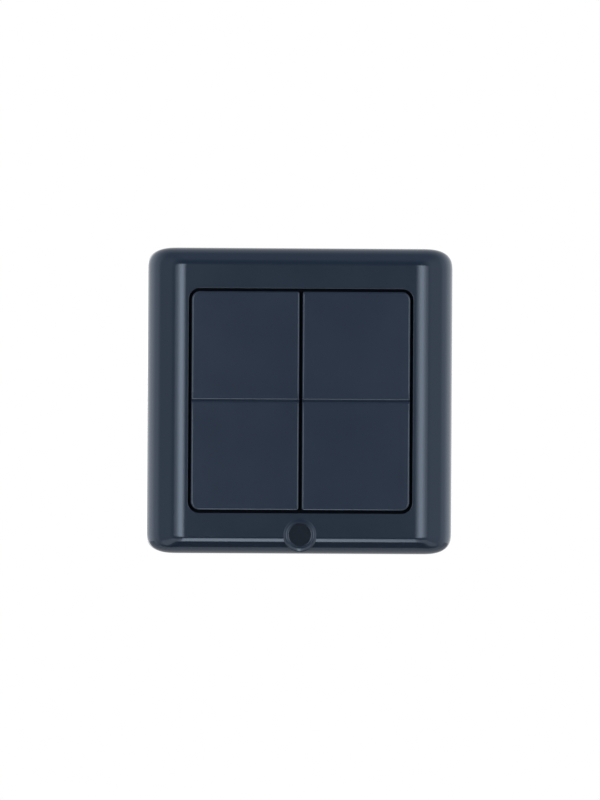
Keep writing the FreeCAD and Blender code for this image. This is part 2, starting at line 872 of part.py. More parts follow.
def wall_plate():
    plate_half = wall_plate_half
    outline = rectangle(plate_half, plate_half, wall_plate_corner_radius)
    rim_front = wall_plate_thickness + wall_rim_height
    rim_inner = plate_half - wall_rim_width
    rim_hollow = rectangle(rim_inner, rim_inner, wall_plate_corner_radius - wall_rim_width)
    plate = slab(outline, 0.0, rim_front).cut(slab(rim_hollow, wall_plate_thickness, rim_front + cut_past))
    arms = []
    for along in (-latch_spacing / 2, latch_spacing / 2):
        arms += turned_copies(latch_arm(along), (0, 180))
    plate = joined([plate] + arms + housing_guides())
    notch = block(plate_half - level_notch, plate_half + cut_past, -level_notch / 2, level_notch / 2,
                  -cut_past, rim_front + cut_past)
    for cutter in box_slots() + turned_copies(notch, (0, 90, 180, 270)):
        plate = plate.cut(cutter)
    return plate


def housing_guides():
    """Low L-shaped ribs round the housing's corners."""
    inner = housing_half + latch_clearance
    outer = inner + guide_width
    start = housing_half - guide_length
    corner = slab([
        (outer, start, 0), (outer, outer, 0), (start, outer, 0),
        (start, inner, 0), (inner, inner, 0), (inner, start, 0),
    ], wall_plate_thickness - join_depth, wall_plate_thickness + guide_height)
    return turned_copies(corner, (0, 90, 180, 270))


def write(name, solids):
    """Writes one STEP file that holds all the solids of a node."""
    shapes = solids if isinstance(solids, list) else [solids]
    whole = Part.makeCompound([solid for shape in shapes for solid in shape.Solids])
    whole.exportStep(os.path.join("parts", name + ".step"))
    print(f"{name}: {len(whole.Solids)} solid(s), {whole.Volume:.1f} mm3, valid {whole.isValid()}")


def main():
    os.makedirs("parts", exist_ok=True)
    write("cover_frame", cover_frame())
    write("left_rocker", rocker(-1))
    write("right_rocker", rocker(1))
    write("rocker_carrier", rocker_carrier())
    write("rear_housing", rear_housing())
    write("battery_door", battery_door())
    write("wall_plate", wall_plate())
    write("circuit_board", circuit_board())
    write("coin_cell", coin_cell())
    write("battery_holder", battery_holder())
    write("positive_contact", positive_contact())
    write("negative_contact", negative_contact())
    for side, side_name in ((-1, "left"), (1, "right")):
        for up, up_name in ((1, "upper"), (-1, "lower")):
            centre = (side * rocker_centre, up * press_arm)
            name = f"{up_name}_{side_name}"
            write(f"{name}_switch", switch_body(centre))
            write(f"{name}_plunger", plunger(centre))
            write(f"{name}_cover_plate", switch_cover(centre))
    write("switch_terminals", switch_terminals())
    write("radio_module", radio_module())
    write("radio_chip", radio_chip())
    write("radio_shield", radio_shield())
    write("radio_antenna", radio_antenna())
    write("board_components", board_components())
    write("case_screws", case_screws())


main()
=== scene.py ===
import bmesh
import bpy
import json
import math
from mathutils import Matrix, Vector


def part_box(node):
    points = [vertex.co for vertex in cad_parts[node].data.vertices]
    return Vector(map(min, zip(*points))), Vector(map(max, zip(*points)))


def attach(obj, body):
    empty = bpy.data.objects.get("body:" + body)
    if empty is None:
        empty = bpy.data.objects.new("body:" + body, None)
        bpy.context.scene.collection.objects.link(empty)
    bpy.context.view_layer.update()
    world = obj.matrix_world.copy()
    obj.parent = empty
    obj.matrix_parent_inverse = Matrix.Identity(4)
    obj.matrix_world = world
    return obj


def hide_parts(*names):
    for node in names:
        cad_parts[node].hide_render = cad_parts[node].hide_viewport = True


bl_info = {
    "name": "Wireless wall switch",
    "version": (1, 0, 0),
    "blender": (4, 5, 0),
    "location": "3D View > Sidebar > Wall switch",
    "description": "Dresses the packed wall switch with its mouldings, fasteners, finishes and studio",
    "category": "Object",
}

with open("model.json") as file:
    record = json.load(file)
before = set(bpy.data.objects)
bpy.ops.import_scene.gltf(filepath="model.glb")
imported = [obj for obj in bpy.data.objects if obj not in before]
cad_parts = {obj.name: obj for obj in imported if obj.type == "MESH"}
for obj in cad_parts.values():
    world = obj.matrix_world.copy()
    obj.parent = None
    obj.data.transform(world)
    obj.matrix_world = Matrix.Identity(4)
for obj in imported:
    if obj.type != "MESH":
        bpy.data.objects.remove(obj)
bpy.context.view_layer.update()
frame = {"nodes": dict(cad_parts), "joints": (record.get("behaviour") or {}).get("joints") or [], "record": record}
cover_low, cover_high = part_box("cover_frame")
rocker_low, rocker_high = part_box("left_rocker")
carrier_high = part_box("rocker_carrier")[1]
housing_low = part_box("rear_housing")[0]
board_low, board_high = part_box("circuit_board")
cell_low, cell_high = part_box("coin_cell")
screws_low, screws_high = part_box("case_screws")

# Width of the narrow flat band that holds the shading beside a rounding
BAND = 0.0001
# How far joined solids reach into each other
OVERLAP = 0.0002
# How far behind the frame's panel its outline lies
OUTLINE_DROP = 0.0055
# Lamps beside the camera: turn, distance, share of the brightness and width
SIDE_STRIPS = (
    (-11.6, 1.5, 0.36, 9.0), (-12.0, 1.55, 0.36, 17.0), (-14.5, 1.6, 0.26, 26.0),
    (19.4, 1.5, 0.31, 10.0), (19.8, 1.55, 0.31, 19.0), (20.6, 1.6, 0.24, 30.0),
)
# Lamps below the camera: name, turn, rise, distance, share of the brightness, width and height
LOW_STRIPS = (
    ("low_strip", 0.0, -47.0, 1.4, 0.38, 8.0, 32.0), ("low_strip", 0.0, -46.0, 1.45, 0.37, 8.0, 44.0),
    ("low_strip", 0.0, -45.5, 1.5, 0.12, 26.0, 40.0), ("low_strip", 0.0, -45.0, 1.55, 0.14, 70.0, 36.0),
    ("low_side", -23.0, -41.0, 1.62, 0.07, 22.0, 40.0), ("low_side", 23.0, -41.0, 1.66, 0.07, 22.0, 40.0),
)


def length(name, description, default):
    """A size in metres that a user can change."""
    return bpy.props.FloatProperty(name=name, description=description, default=default,
                                   unit="LENGTH", precision=5)


def angle(name, description, degrees):
    """An angle that a user can change."""
    return bpy.props.FloatProperty(name=name, description=description, default=math.radians(degrees),
                                   subtype="ANGLE")


def tint(name, description, default):
    """A linear colour that a user can change."""
    return bpy.props.FloatVectorProperty(name=name, description=description, default=default,
                                         subtype="COLOR", size=3, min=0.0, max=1.0)


def amount(name, description, default):
    """A plain number that a user can change."""
    return bpy.props.FloatProperty(name=name, description=description, default=default)


class FrameSizes(bpy.types.PropertyGroup):
    """Sizes of the one-piece frame."""

    hollow_radius: length("Hollow radius", "Radius of the hollow's corners", 0.0031)
    wing_width: length("Wing width", "Distance from the side to the wing's crease", 0.0079)
    wing_slope: angle("Wing slope", "How far the side wings fall back", 20.0)
    wing_crease_radius: length("Wing crease radius", "Rounding between panel and wing", 0.0117)
    brow_width: length("Brow width", "Distance from the top or bottom to the brow's crease", 0.0036)
    brow_slope: angle("Brow slope", "How far the top and bottom bevels fall back", 40.0)
    brow_crease_radius: length("Brow crease radius", "Rounding between panel and bevel", 0.0025)
    rim_radius: length("Rim radius", "Rounding between the bevels and the upright sides", 0.005)
    hip_radius: length("Hip radius", "Corner radius where the panel meets both bevels", 0.0003)
    face_power: amount("Inner corner power", "Superellipse power of the corners at the panel", 2.6)
    outline_power: amount("Outline corner power", "Superellipse power of the outline's corners", 2.8)
    outline_across: length("Outline corner width", "Reach of its corners along top and bottom", 0.00825)
    outline_up: length("Outline corner height", "Reach of its corners along the sides", 0.0058)
    skin: length("Skin", "Wall thickness of the moulding", 0.0018)
    opening_half: length("Opening half side", "Half the side of the square opening", 0.0294)
    opening_radius: length("Opening corner radius", "Corner radius of the opening", 0.00295)
    opening_edge: length("Opening edge radius", "Rounding of the opening's front edge", 0.0001)
    collar_wall: length("Collar wall", "Thickness of the collar behind the opening", 0.0013)
    rear_edge: length("Rear edge radius", "Rounding of the edge that faces the wall", 0.0002)


class BossSizes(bpy.types.PropertyGroup):
    """Sizes of the round boss on the lower border."""

    radius: length("Radius", "Outer radius of its flat face", 0.0035)
    foot_radius: length("Foot radius", "Outer radius of the shoulder round its face", 0.00447)
    height: length("Height", "Distance below the middle of the frame", 0.035)
    proud: length("Proud", "How far it stands in front of the panel", 0.0003)
    slope_start: angle("Inner slope", "Slope of the face's ring beside the recess", 0.5)
    slope_end: angle("Outer slope", "Slope of the face's ring beside the shoulder", 1.5)
    edge: length("Edge", "Width of the turn from the face to the shoulder", 0.00012)
    shoulder_start: angle("Shoulder start", "Slope of the shoulder beside the face", 13.0)
    shoulder_end: angle("Shoulder end", "Slope of the shoulder at its outer edge", 38.0)
    recess_radius: length("Recess radius", "Radius of the round recess in its face", 0.00305)
    recess_depth: length("Recess depth", "Depth of that recess", 0.00033)
    recess_edge: length("Recess edge radius", "Rounding of the recess's edge and floor", 0.00008)
    foot: length("Foot", "How far the boss reaches behind its face", 0.0042)


class RockerSizes(bpy.types.PropertyGroup):
    """Sizes of the two rockers."""

    corner_radius: length("Corner radius", "Radius of the corners beside the frame", 0.00215)
    inner_corner_radius: length("Inner corner radius", "Radius beside the other rocker", 0.0006)
    edge: length("Edge radius", "Rounding all round the face", 0.0004)
    plate: length("Plate", "Thickness of the face", 0.0018)
    skirt: length("Skirt", "How far the skirt reaches behind the plate", 0.0009)
    wall: length("Skirt wall", "Thickness of the skirt", 0.0012)
    groove_width: length("Groove width", "Width of the groove across the middle", 0.0010)
    groove_depth: length("Groove depth", "Depth of that groove", 0.0004)
    groove_lip: length("Groove lip radius", "Rounding of the groove's two lips", 0.00035)
    rib_width: length("Rib width", "Thickness of the ribs behind the plate", 0.0008)
    rib_height: length("Rib height", "Height of those ribs", 0.0006)
    rib_spread: length("Rib spread", "Distance of the upright ribs from the middle", 0.006)
    rib_pitch: length("Rib pitch", "Distance of the level ribs from the middle", 0.020)
    press_arm: length("Press arm", "Distance of the posts from the tilt axis", 0.012)
    post_reach: length("Post reach", "Half the width of a post's cross", 0.0014)
    post_web: length("Post web", "Thickness of the cross", 0.0008)
    lug_spread: length("Lug spread", "Distance of the bearing lugs from the middle", 0.011)
    lug_thickness: length("Lug thickness", "Thickness of a bearing lug", 0.0016)
    lug_radius: length("Lug radius", "Radius of a bearing lug's round end", 0.0011)
    pin_radius: length("Pin radius", "Radius of a bearing pin", 0.0009)
    pin_length: length("Pin length", "Length of a bearing pin", 0.0016)


class SmallSizes(bpy.types.PropertyGroup):
    """Sizes of the tongues, screws, cell and solder."""

    tongue_width: length("Tongue width", "Width of a snap tongue", 0.008)
    tongue_thickness: length("Tongue thickness", "Thickness of a snap tongue", 0.0012)
    tongue_spacing: length("Tongue spacing", "Distance between two tongues of a side", 0.036)
    tongue_hook: length("Tongue hook", "Reach of a tongue's hook", 0.0007)
    tongue_hook_height: length("Hook height", "Height of a tongue's hook", 0.0009)
    tongue_hook_gap: length("Hook gap", "Gap between the housing and a hook", 0.00005)
    tongue_clearance: length("Tongue clearance", "Gap between carrier and tongue", 0.0002)
    rib_width: length("Frame rib width", "Thickness of a frame rib", 0.001)
    rib_depth: length("Frame rib depth", "Depth of a frame rib behind the skin", 0.004)
    screw_radius: length("Screw radius", "Outer radius of the screw's thread", 0.00085)
    screw_head_radius: length("Screw head radius", "Radius of the pan head", 0.0019)
    screw_head_height: length("Screw head height", "Height of the pan head", 0.0006)
    screw_pitch: length("Screw pitch", "Pitch of the thread", 0.0006)
    cell_edge: length("Cell edge radius", "Rounding of the coin cell's can", 0.0004)
    cell_cap_radius: length("Cell cap radius", "Radius of the raised cap", 0.0089)
    cell_step: length("Cell step", "Height of the cap above the can", 0.00035)
    solder_length: length("Solder length", "Length of a solder fillet", 0.0013)
    solder_width: length("Solder width", "Width of a solder fillet", 0.0009)
    solder_height: length("Solder height", "Height of a solder fillet", 0.00035)
    via_radius: length("Via radius", "Radius of a plated hole on the board", 0.00035)


class Finishes(bpy.types.PropertyGroup):
    """Colours of the finishes, as linear values."""

    frame_plastic: tint("Frame", "Moulded frame", (0.0134, 0.0225, 0.0395))
    rocker_plastic: tint("Rockers", "Moulded rockers", (0.0150, 0.0240, 0.0440))
    sheen_tint: tint("Sheen tint", "Tint of the outer mouldings' reflections", (0.70, 0.83, 1.0))
    inner_plastic: tint("Inner plastic", "Carrier, housing and battery door", (0.009, 0.011, 0.014))
    # The carrier's dark plastic, darkened further so that it paints the shade in the gaps round the rockers
    carrier_painted_shade: tint("Carrier", "Dark plate that shows in the gaps", (0.003, 0.0055, 0.0105))
    wall_plastic: tint("Wall plate", "Plate on the wall", (0.050, 0.055, 0.065))
    solder_mask: tint("Solder mask", "Lacquer of the main board", (0.012, 0.11, 0.045))
    module_mask: tint("Module mask", "Lacquer of the radio module", (0.012, 0.05, 0.17))
    steel: tint("Steel", "Sheet steel and screws", (0.56, 0.56, 0.55))
    nickel: tint("Nickel", "Plated contacts", (0.66, 0.64, 0.58))
    ceramic: tint("Ceramic", "Antenna", (0.72, 0.70, 0.62))
    brown: tint("Component brown", "Small board parts", (0.28, 0.17, 0.10))
    button: tint("Plunger", "Plungers of the tact switches", (0.60, 0.60, 0.57))
    floor: tint("Floor", "Studio floor", (0.80, 0.80, 0.80))


class StudioSettings(bpy.types.PropertyGroup):
    """Camera, lamps and surroundings."""

    distance: length("Camera distance", "Distance of the camera from the outline", 3.0)
    picture_height: length("Picture height", "Height of the view at the outline", 0.2096)
    roll: angle("Camera roll", "Turn of the camera about its view", 0.32)
    view_turn: angle("View turn", "How far the camera stands to the left of straight ahead", 2.2)
    view_drop: angle("View drop", "How far the camera stands below straight ahead", 0.1)
    aim_right: length("Aim right", "How far the view's middle lies to the right of the switch", 0.00004)
    aim_up: length("Aim up", "How far the view's middle lies above the switch", 0.00026)
    floor_depth: length("Floor depth", "How far the floor lies below the switch", 1.4)
    floor_front: length("Floor front", "How far the floor reaches in front of the wall", 0.14)
    strip: amount("Side strips", "Brightness of the two strips beside the camera", 4.9)
    low_strip: amount("Low strip", "Brightness of the strip below the camera", 4.6)
    front_fill: amount("Front fill", "Share of the plain light from beside the camera", 0.1)
    top_fill: amount("Top fill", "Share of the plain light from above", 0.2)
    tent_front: amount("Tent front", "Brightness of the tent round the camera", 0.03)
    tent_side: amount("Tent sides", "Brightness of the tent on the left and right", 1.9)
    tent_end: amount("Tent ends", "Brightness of the tent above, below and behind", 1.0)


class Signal:
    """One output of a node, which can stand in sums."""

    def __init__(self, board, socket):
        self.board = board
        self.socket = socket

    def combined(self, operation, first, second):
        types = [getattr(getattr(value, "socket", None), "type", "") for value in (first, second)]
        kind = "ShaderNodeVectorMath" if "VECTOR" in types else "ShaderNodeMath"
        return self.board.node(kind, {0: first, 1: second}, operation=operation)

    def __add__(self, other):
        return self.combined("ADD", self, other)

    def __radd__(self, other):
        return self.combined("ADD", other, self)

    def __sub__(self, other):
        return self.combined("SUBTRACT", self, other)

    def __rsub__(self, other):
        return self.combined("SUBTRACT", other, self)

    def __mul__(self, other):
        return self.combined("MULTIPLY", self, other)

    def __rmul__(self, other):
        return self.combined("MULTIPLY", other, self)

    def __truediv__(self, other):
        return self.combined("DIVIDE", self, other)

    def __gt__(self, other):
        return self.combined("GREATER_THAN", self, other)

    def fraction(self):
        return self.board.node("ShaderNodeMath", {0: self}, operation="FRACT")

    def spread(self, low, high):
        """0 below low, 1 above high and a smooth run between."""
        return self.board.node("ShaderNodeMapRange", {"Value": self, "From Min": low, "From Max": high},
                               interpolation_type="SMOOTHSTEP")


class NodeBoard:
    """A node tree that is filled by calls."""

    def __init__(self, tree):
        self.tree = tree

    def node(self, kind, inputs=None, output=0, **settings):
        """Adds a node, sets it up, feeds its sockets and returns one of its outputs."""
        made = self.tree.nodes.new(kind)
        for name, value in settings.items():
            setattr(made, name, value)
        for name, value in (inputs or {}).items():
            for one in value if isinstance(value, list) else [value]:
                if isinstance(one, Signal):
                    self.tree.links.new(one.socket, made.inputs[name])
                else:
                    made.inputs[name].default_value = one
        return Signal(self, made.outputs[output]) if len(made.outputs) else made

    def shape(self, kind, settings=None, **inputs):
        """Adds a geometry node, whose inputs are named with _ for a space."""
        named = {name.replace("_", " "): value for name, value in inputs.items()}
        return self.node("GeometryNode" + kind, named, **(settings or {}))

    def circle(self, steps, radius):
        return self.shape("CurvePrimitiveCircle", {"mode": "RADIUS"}, Resolution=steps, Radius=radius)

    def vector(self, **parts):
        """Vector of the parts given as X, Y and Z."""
        return self.node("ShaderNodeCombineXYZ", parts)

    def part_of(self, vector, axis):
        return self.node("ShaderNodeSeparateXYZ", {"Vector": vector}, axis)

    def length_of(self, vector):
        return self.node("ShaderNodeVectorMath", {0: vector}, "Value", operation="LENGTH")

    def noise(self, place, scale, detail=2.0):
        return self.node("ShaderNodeTexNoise", {"Vector": place, "Scale": scale, "Detail": detail}, "Fac")

    def stretched(self, place, scale):
        return self.node("ShaderNodeMapping", {"Vector": place, "Scale": scale})

    def mix(self, first, second, share):
        """Colour between two colours."""
        return self.node("ShaderNodeMix", {0: share, 6: first, 7: second}, 2, data_type="RGBA")

    def shades(self, colour, dark, light, share):
        """Colour between a darker and a lighter shade of one colour."""
        return self.mix(opaque(colour, dark), opaque(colour, light), share)

    def bump(self, height, distance=0.00001, strength=1.0):
        return self.node("ShaderNodeBump", {"Strength": strength, "Distance": distance, "Height": height})

    def surface(self, **sockets):
        """Ends the tree in one Principled shader."""
        names = {"Colour": "Base Color"}
        inputs = {names.get(name, name.replace("_", " ")): value for name, value in sockets.items()}
        shader = self.node("ShaderNodeBsdfPrincipled", inputs)
        self.node("ShaderNodeOutputMaterial", {"Surface": shader})


def new_material(name):
    """A material with an empty tree, its board and the place of the shaded point."""
    material = bpy.data.materials.new(name + "_finish")
    material.use_nodes = True
    material.node_tree.nodes.clear()
    board = NodeBoard(material.node_tree)
    return material, board, board.node("ShaderNodeTexCoord", output="Object")


def opaque(colour, factor=1.0):
    return (*[min(channel * factor, 1.0) for channel in colour], 1.0)


def boss_recess_painted_shade(board, place, boss):
    """1 on the recess floor in the boss's face, which is painted darker as shade, and 0 elsewhere."""
    from_axis = board.length_of((place + (0.0, 0.0, boss.height)) * (1.0, 0.0, 1.0))
    shade_edge, fade = boss.recess_radius - 0.00006, 0.0001
    return 1.0 - from_axis.spread(shade_edge - fade, shade_edge)


def moulded_plastic(name, colour, roughness, grain=0.000004, gloss=0.5, gloss_tint=(1.0, 1.0, 1.0),
                    boss=None):
    """Injection moulded plastic: fine spark grain, faint clouding and small specks in the gloss; given a boss, the
    floor of its recess is painted darker as shade.
    """
    material, board, place = new_material(name)
    cloud = board.noise(place, 70.0, 3.0)
    speck = board.noise(place, 1400.0, 1.0)
    base = board.shades(colour, 0.93, 1.07, cloud)
    # Painted shade: the recess floor in the boss's face is darkened to 0.4 of the colour
    if boss:
        base = board.mix(base, opaque(colour, 0.4), boss_recess_painted_shade(board, place, boss))
    board.surface(Colour=base, Roughness=roughness * (0.84 + 0.2 * cloud + 0.12 * speck),
                  Normal=board.bump(board.noise(place, 2600.0, 1.0), grain),
                  Specular_IOR_Level=gloss, Specular_Tint=opaque(gloss_tint))
    return material


def sheet_metal(name, colour, roughness):
    """Rolled sheet with fine lines along one axis and a few dull patches."""
    material, board, place = new_material(name)
    lines = board.noise(board.stretched(place, (0.03, 1.0, 1.0)), 9000.0)
    patch = board.noise(place, 260.0, 3.0)
    board.surface(Colour=board.shades(colour, 0.82, 1.12, lines), Metallic=1.0,
                  Roughness=roughness + 0.18 * (patch - 0.5) + 0.08 * (lines - 0.5),
                  Normal=board.bump(lines, strength=0.2))
    return material


def plated_metal(name, colour, roughness):
    """Plating with faint handling marks and tiny pits."""
    material, board, place = new_material(name)
    patch = board.noise(place, 500.0, 3.0)
    board.surface(Colour=board.shades(colour, 0.85, 1.1, patch), Metallic=1.0,
                  Roughness=roughness + 0.15 * (patch - 0.5),
                  Normal=board.bump(board.noise(place, 7000.0, 1.0), strength=0.15))
    return material


def turned_metal(name, colour, roughness):
    """Steel can with fine rings about the cell's axis."""
    material, board, place = new_material(name)
    radius = board.length_of(place * (1.0, 0.0, 1.0))
    rings = board.noise(board.vector(X=radius), 16000.0, 1.0)
    patch = board.noise(place, 300.0, 3.0)
    board.surface(Colour=board.shades(colour, 0.88, 1.1, rings), Metallic=1.0,
                  Roughness=roughness + 0.12 * (patch - 0.5), Normal=board.bump(rings, strength=0.2))
    return material


def laminate(name, colour, pitch):
    """Lacquered circuit laminate: copper tracks show through as lighter, raised lines."""
    material, board, place = new_material(name)
    zone = board.noise(place, 90.0, 0.0)
    upright, level = [(board.part_of(place, axis) / pitch).fraction() > 0.72 for axis in "XZ"]
    track = upright * (zone > 0.52) + level * (0.48 - zone).spread(0.0, 0.001)
    weave = board.noise(board.stretched(place, (1.0, 1.0, 0.3)), 2600.0, 1.0)
    board.surface(Colour=board.shades(colour, 0.8, 1.8, 0.7 * track + 0.25 * weave),
                  Roughness=0.3 + 0.15 * weave, Normal=board.bump(track + 0.2 * weave, 0.00003, 0.4))
    return material


def pale_floor(name, colour, roughness):
    """Painted studio floor with the faintest mottling."""
    material, board, place = new_material(name)
    mottle = board.noise(place, 6.0, 3.0)
    board.surface(Colour=board.shades(colour, 0.985, 1.015, mottle),
                  Roughness=roughness + 0.1 * (mottle - 0.5))
    return material


def finish(name):
    """Material of one finish, made the first time it is asked for."""
    found = bpy.data.materials.get(name + "_finish")
    if found:
        return found
    scene = bpy.context.scene
    colours = scene.switch_finishes
    shiny = {"gloss": 0.6, "gloss_tint": colours.sheen_tint}
    grained = {"grain": 0.00001}
    maker, colour, measure, more = {
        # The frame's plastic carries painted shade on the floor of the boss's recess
        "frame_plastic": (moulded_plastic, colours.frame_plastic, 0.14,
                          {**shiny, "boss": scene.switch_boss_sizes}),
        "rocker_plastic": (moulded_plastic, colours.rocker_plastic, 0.15, shiny),
        "inner_plastic": (moulded_plastic, colours.inner_plastic, 0.28,
                          {"grain": 0.000006, "gloss": 0.3}),
        "carrier_painted_shade": (moulded_plastic, colours.carrier_painted_shade, 0.45, {"gloss": 0.03}),
        "wall_plate_plastic": (moulded_plastic, colours.wall_plastic, 0.52, grained),
        "plunger_resin": (moulded_plastic, colours.button, 0.4, {}),
        "black_resin": (moulded_plastic, (0.02, 0.02, 0.022), 0.55, grained),
        "ceramic": (moulded_plastic, colours.ceramic, 0.45, {}),
        "component_brown": (moulded_plastic, colours.brown, 0.42, {}),
        "sheet_steel": (sheet_metal, colours.steel, 0.32, {}),
        "zinc_steel": (plated_metal, colours.steel, 0.3, {}),
        "nickel_plate": (plated_metal, colours.nickel, 0.24, {}),
        "solder": (plated_metal, (0.62, 0.62, 0.63), 0.2, {}),
        "cell_steel": (turned_metal, colours.steel, 0.26, {}),
        "board_laminate": (laminate, colours.solder_mask, 0.0016, {}),
        "module_laminate": (laminate, colours.module_mask, 0.0009, {}),
        "floor_paint": (pale_floor, colours.floor, 0.75, {}),
    }[name]
    return maker(name, colour, measure, **more)


def joined_arcs(arcs, side_steps):
    """Points of a ring: four corner arcs, with steps on the straight sides between them."""
    points = []
    for index, arc in enumerate(arcs):
        end = arcs[(index + 1) % 4][0]
        points += arc + [arc[-1].lerp(end, step / side_steps) for step in range(1, side_steps)]
    return points


def rounded_ring(low, high, radii, depth, corner_steps=18, side_steps=6):
    """Points of a rounded rectangle that lies parallel to the wall, anticlockwise as seen from the room.

    low and high are its lower left and upper right corners, and radii are those of the lower right,
    upper right, upper left and lower left corner."""
    corners = [(high[0], low[1], 1, -1), (high[0], high[1], 1, 1),
               (low[0], high[1], -1, 1), (low[0], low[1], -1, -1)]
    arcs = []
    for index, (x, z, right, up) in enumerate(corners):
        radius = radii[index]
        middle = Vector((x - right * radius, -depth, z - up * radius))
        arc = []
        for step in range(corner_steps + 1):
            turn = math.radians(90 * (index - 1 + step / corner_steps))
            arc.append(middle + radius * Vector((math.cos(turn), 0.0, math.sin(turn))))
        arcs.append(arc)
    return joined_arcs(arcs, side_steps)


def quarter(steps):
    """Sines and cosines of the steps of a quarter turn."""
    turns = [math.radians(90 * step / steps) for step in range(steps + 1)]
    return [(math.sin(turn), math.cos(turn)) for turn in turns]


def square_ring(half_width, half_height, radius, depth):
    """Rounded rectangle about the middle of the switch."""
    return rounded_ring((-half_width, -half_height), (half_width, half_height), [radius] * 4, depth)


def crown_ring(half_width, half_height, feet, power, depth, corner_steps=18, side_steps=6):
    """Ring of the frame whose corners are superellipses about the feet of the two creases."""
    reach, rise = half_width - feet[0], half_height - feet[1]
    turns = [math.radians(90 * step / corner_steps) for step in range(corner_steps + 1)]
    arc = [(feet[0] + reach * max(math.cos(turn), 0.0) ** (2 / power),
            feet[1] + rise * math.sin(turn) ** (2 / power)) for turn in turns]
    back = list(reversed(arc))
    corners = [[(x, -z) for x, z in back], arc, [(-x, z) for x, z in back], [(-x, -z) for x, z in arc]]
    return joined_arcs([[Vector((x, -depth, z)) for x, z in corner] for corner in corners], side_steps)


def round_ring(centre, radius, depth, steps=64):
    """Points of a circle parallel to the wall, anticlockwise as seen from the room."""
    x, z = centre
    turns = [2 * math.pi * step / steps for step in range(steps)]
    return [Vector((x + radius * math.cos(turn), -depth, z + radius * math.sin(turn))) for turn in turns]


def linked(name, data):
    """New object in the scene."""
    item = bpy.data.objects.new(name, data)
    bpy.context.scene.collection.objects.link(item)
    return item


def evaluated(item):
    """Mesh of an object after its modifiers."""
    depsgraph = bpy.context.evaluated_depsgraph_get()
    return bpy.data.meshes.new_from_object(item.evaluated_get(depsgraph))


def add_rings(mesh, rings, looped=False):
    """Skins a row of rings, and closes the two ends or joins the last ring to the first."""
    rows = [[mesh.verts.new(point) for point in ring] for ring in rings]
    pairs = list(zip(rows, rows[1:])) + ([(rows[-1], rows[0])] if looped else [])
    for near, far in pairs:
        count = len(near)
        for i in range(count):
            following = (i + 1) % count
            mesh.faces.new((near[i], near[following], far[following], far[i]))
    if not looped:
        mesh.faces.new(list(reversed(rows[0])))
        mesh.faces.new(rows[-1])


def skinned(rings, looped=False):
    """New mesh on a row of rings."""
    mesh = bmesh.new()
    add_rings(mesh, rings, looped)
    return mesh


def section_rings(profile, heights):
    """Rings of one section, given as widths and depths, at several heights."""
    return [[Vector((x, -depth, z)) for x, depth in profile] for z in heights]


def add_block(mesh, low, high):
    """Box between two corners."""
    centre = (Vector(low) + Vector(high)) / 2
    size = Vector(high) - Vector(low)
    place = Matrix.Translation(centre) @ Matrix.Diagonal((*size, 1.0))
    bmesh.ops.create_cube(mesh, size=1.0, matrix=place)


def add_level_rod(mesh, centre, radius, length, steps=32):
    """Cylinder along X."""
    place = Matrix.Translation(centre) @ Matrix.Rotation(math.pi / 2, 4, "Y")
    bmesh.ops.create_cone(mesh, cap_ends=True, segments=steps, radius1=radius, radius2=radius,
                          depth=length, matrix=place)


def combined(first, second, operation):
    """Joins two closed meshes, or cuts the second from the first, and frees both."""
    objects = [linked("solid", closed_mesh(source)) for source in (first, second)]
    work = objects[0].modifiers.new("solid", "BOOLEAN")
    work.operation = operation
    work.solver = "EXACT"
    work.object = objects[1]
    result = bmesh.new()
    result.from_mesh(evaluated(objects[0]))
    for item in objects:
        bpy.data.objects.remove(item)
    return result


def closed_mesh(source):
    """Plain mesh of a closed bmesh with its faces turned outwards; frees the bmesh."""
    bmesh.ops.recalc_face_normals(source, faces=source.faces)
    data = bpy.data.meshes.new("solid")
    source.to_mesh(data)
    source.free()
    return data


def as_piece(name, source, look, body="base", replaced=(), crease=30.0):
    """Turns a bmesh or a mesh into a smooth object that rides on a body."""
    work = source
    if isinstance(source, bpy.types.Mesh):
        work = bmesh.new()
        work.from_mesh(source)
    for face in work.faces:
        face.smooth = True
    for edge in work.edges:
        edge.smooth = len(edge.link_faces) == 2 and edge.calc_face_angle(0.0) < math.radians(crease)
    mesh = bpy.data.meshes.new(name)
    work.to_mesh(mesh)
    work.free()
    mesh.materials.clear()
    mesh.materials.append(finish(look))
    piece = linked(name, mesh)
    shading = piece.modifiers.new("shading", "WEIGHTED_NORMAL")
    shading.keep_sharp = True
    finished = evaluated(piece)
    piece.modifiers.remove(shading)
    piece.data = finished
    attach(piece, body)
    if replaced:
        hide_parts(*replaced)
    return piece


def new_tree(name, **inputs):
    """Geometry tree with named inputs and a material, its board and the signals of its inputs."""
    tree = bpy.data.node_groups.new(name, "GeometryNodeTree")
    for label, kind in {"Geometry": "Geometry", **inputs, "Material": "Material"}.items():
        tree.interface.new_socket(name=label, in_out="INPUT", socket_type="NodeSocket" + kind)
    tree.interface.new_socket(name="Geometry", in_out="OUTPUT", socket_type="NodeSocketGeometry")
    board = NodeBoard(tree)
    source = tree.nodes.new("NodeGroupInput")
    return tree, board, {socket.name: Signal(board, socket) for socket in source.outputs if socket.name}


def end_tree(board, given, points, shape, **turned):
    """Ends a geometry tree in a copy of a shape on every point, with its material."""
    copies = board.shape("InstanceOnPoints", Points=points, Instance=shape, **turned)
    whole = board.shape("RealizeInstances", Geometry=copies)
    dressed = board.shape("SetMaterial", Geometry=whole, Material=given["Material"])
    board.node("NodeGroupOutput", {"Geometry": dressed})


def grown(tree, points, look, **values):
    """Plain mesh that a geometry tree makes on a few points, or on a mesh."""
    mesh = points
    if isinstance(points, list):
        mesh = bpy.data.meshes.new("points")
        mesh.from_pydata([tuple(point) for point in points], [], [])
    holder = linked("holder", mesh)
    modifier = holder.modifiers.new("grown", "NODES")
    modifier.node_group = tree
    identifiers = {item.name: item.identifier for item in tree.interface.items_tree
                   if item.item_type == "SOCKET" and item.in_out == "INPUT"}
    for name, value in {"Material": finish(look), **values}.items():
        modifier[identifiers[name]] = value
    result = evaluated(holder)
    holder.modifiers.remove(modifier)
    bpy.data.objects.remove(holder)
    return result


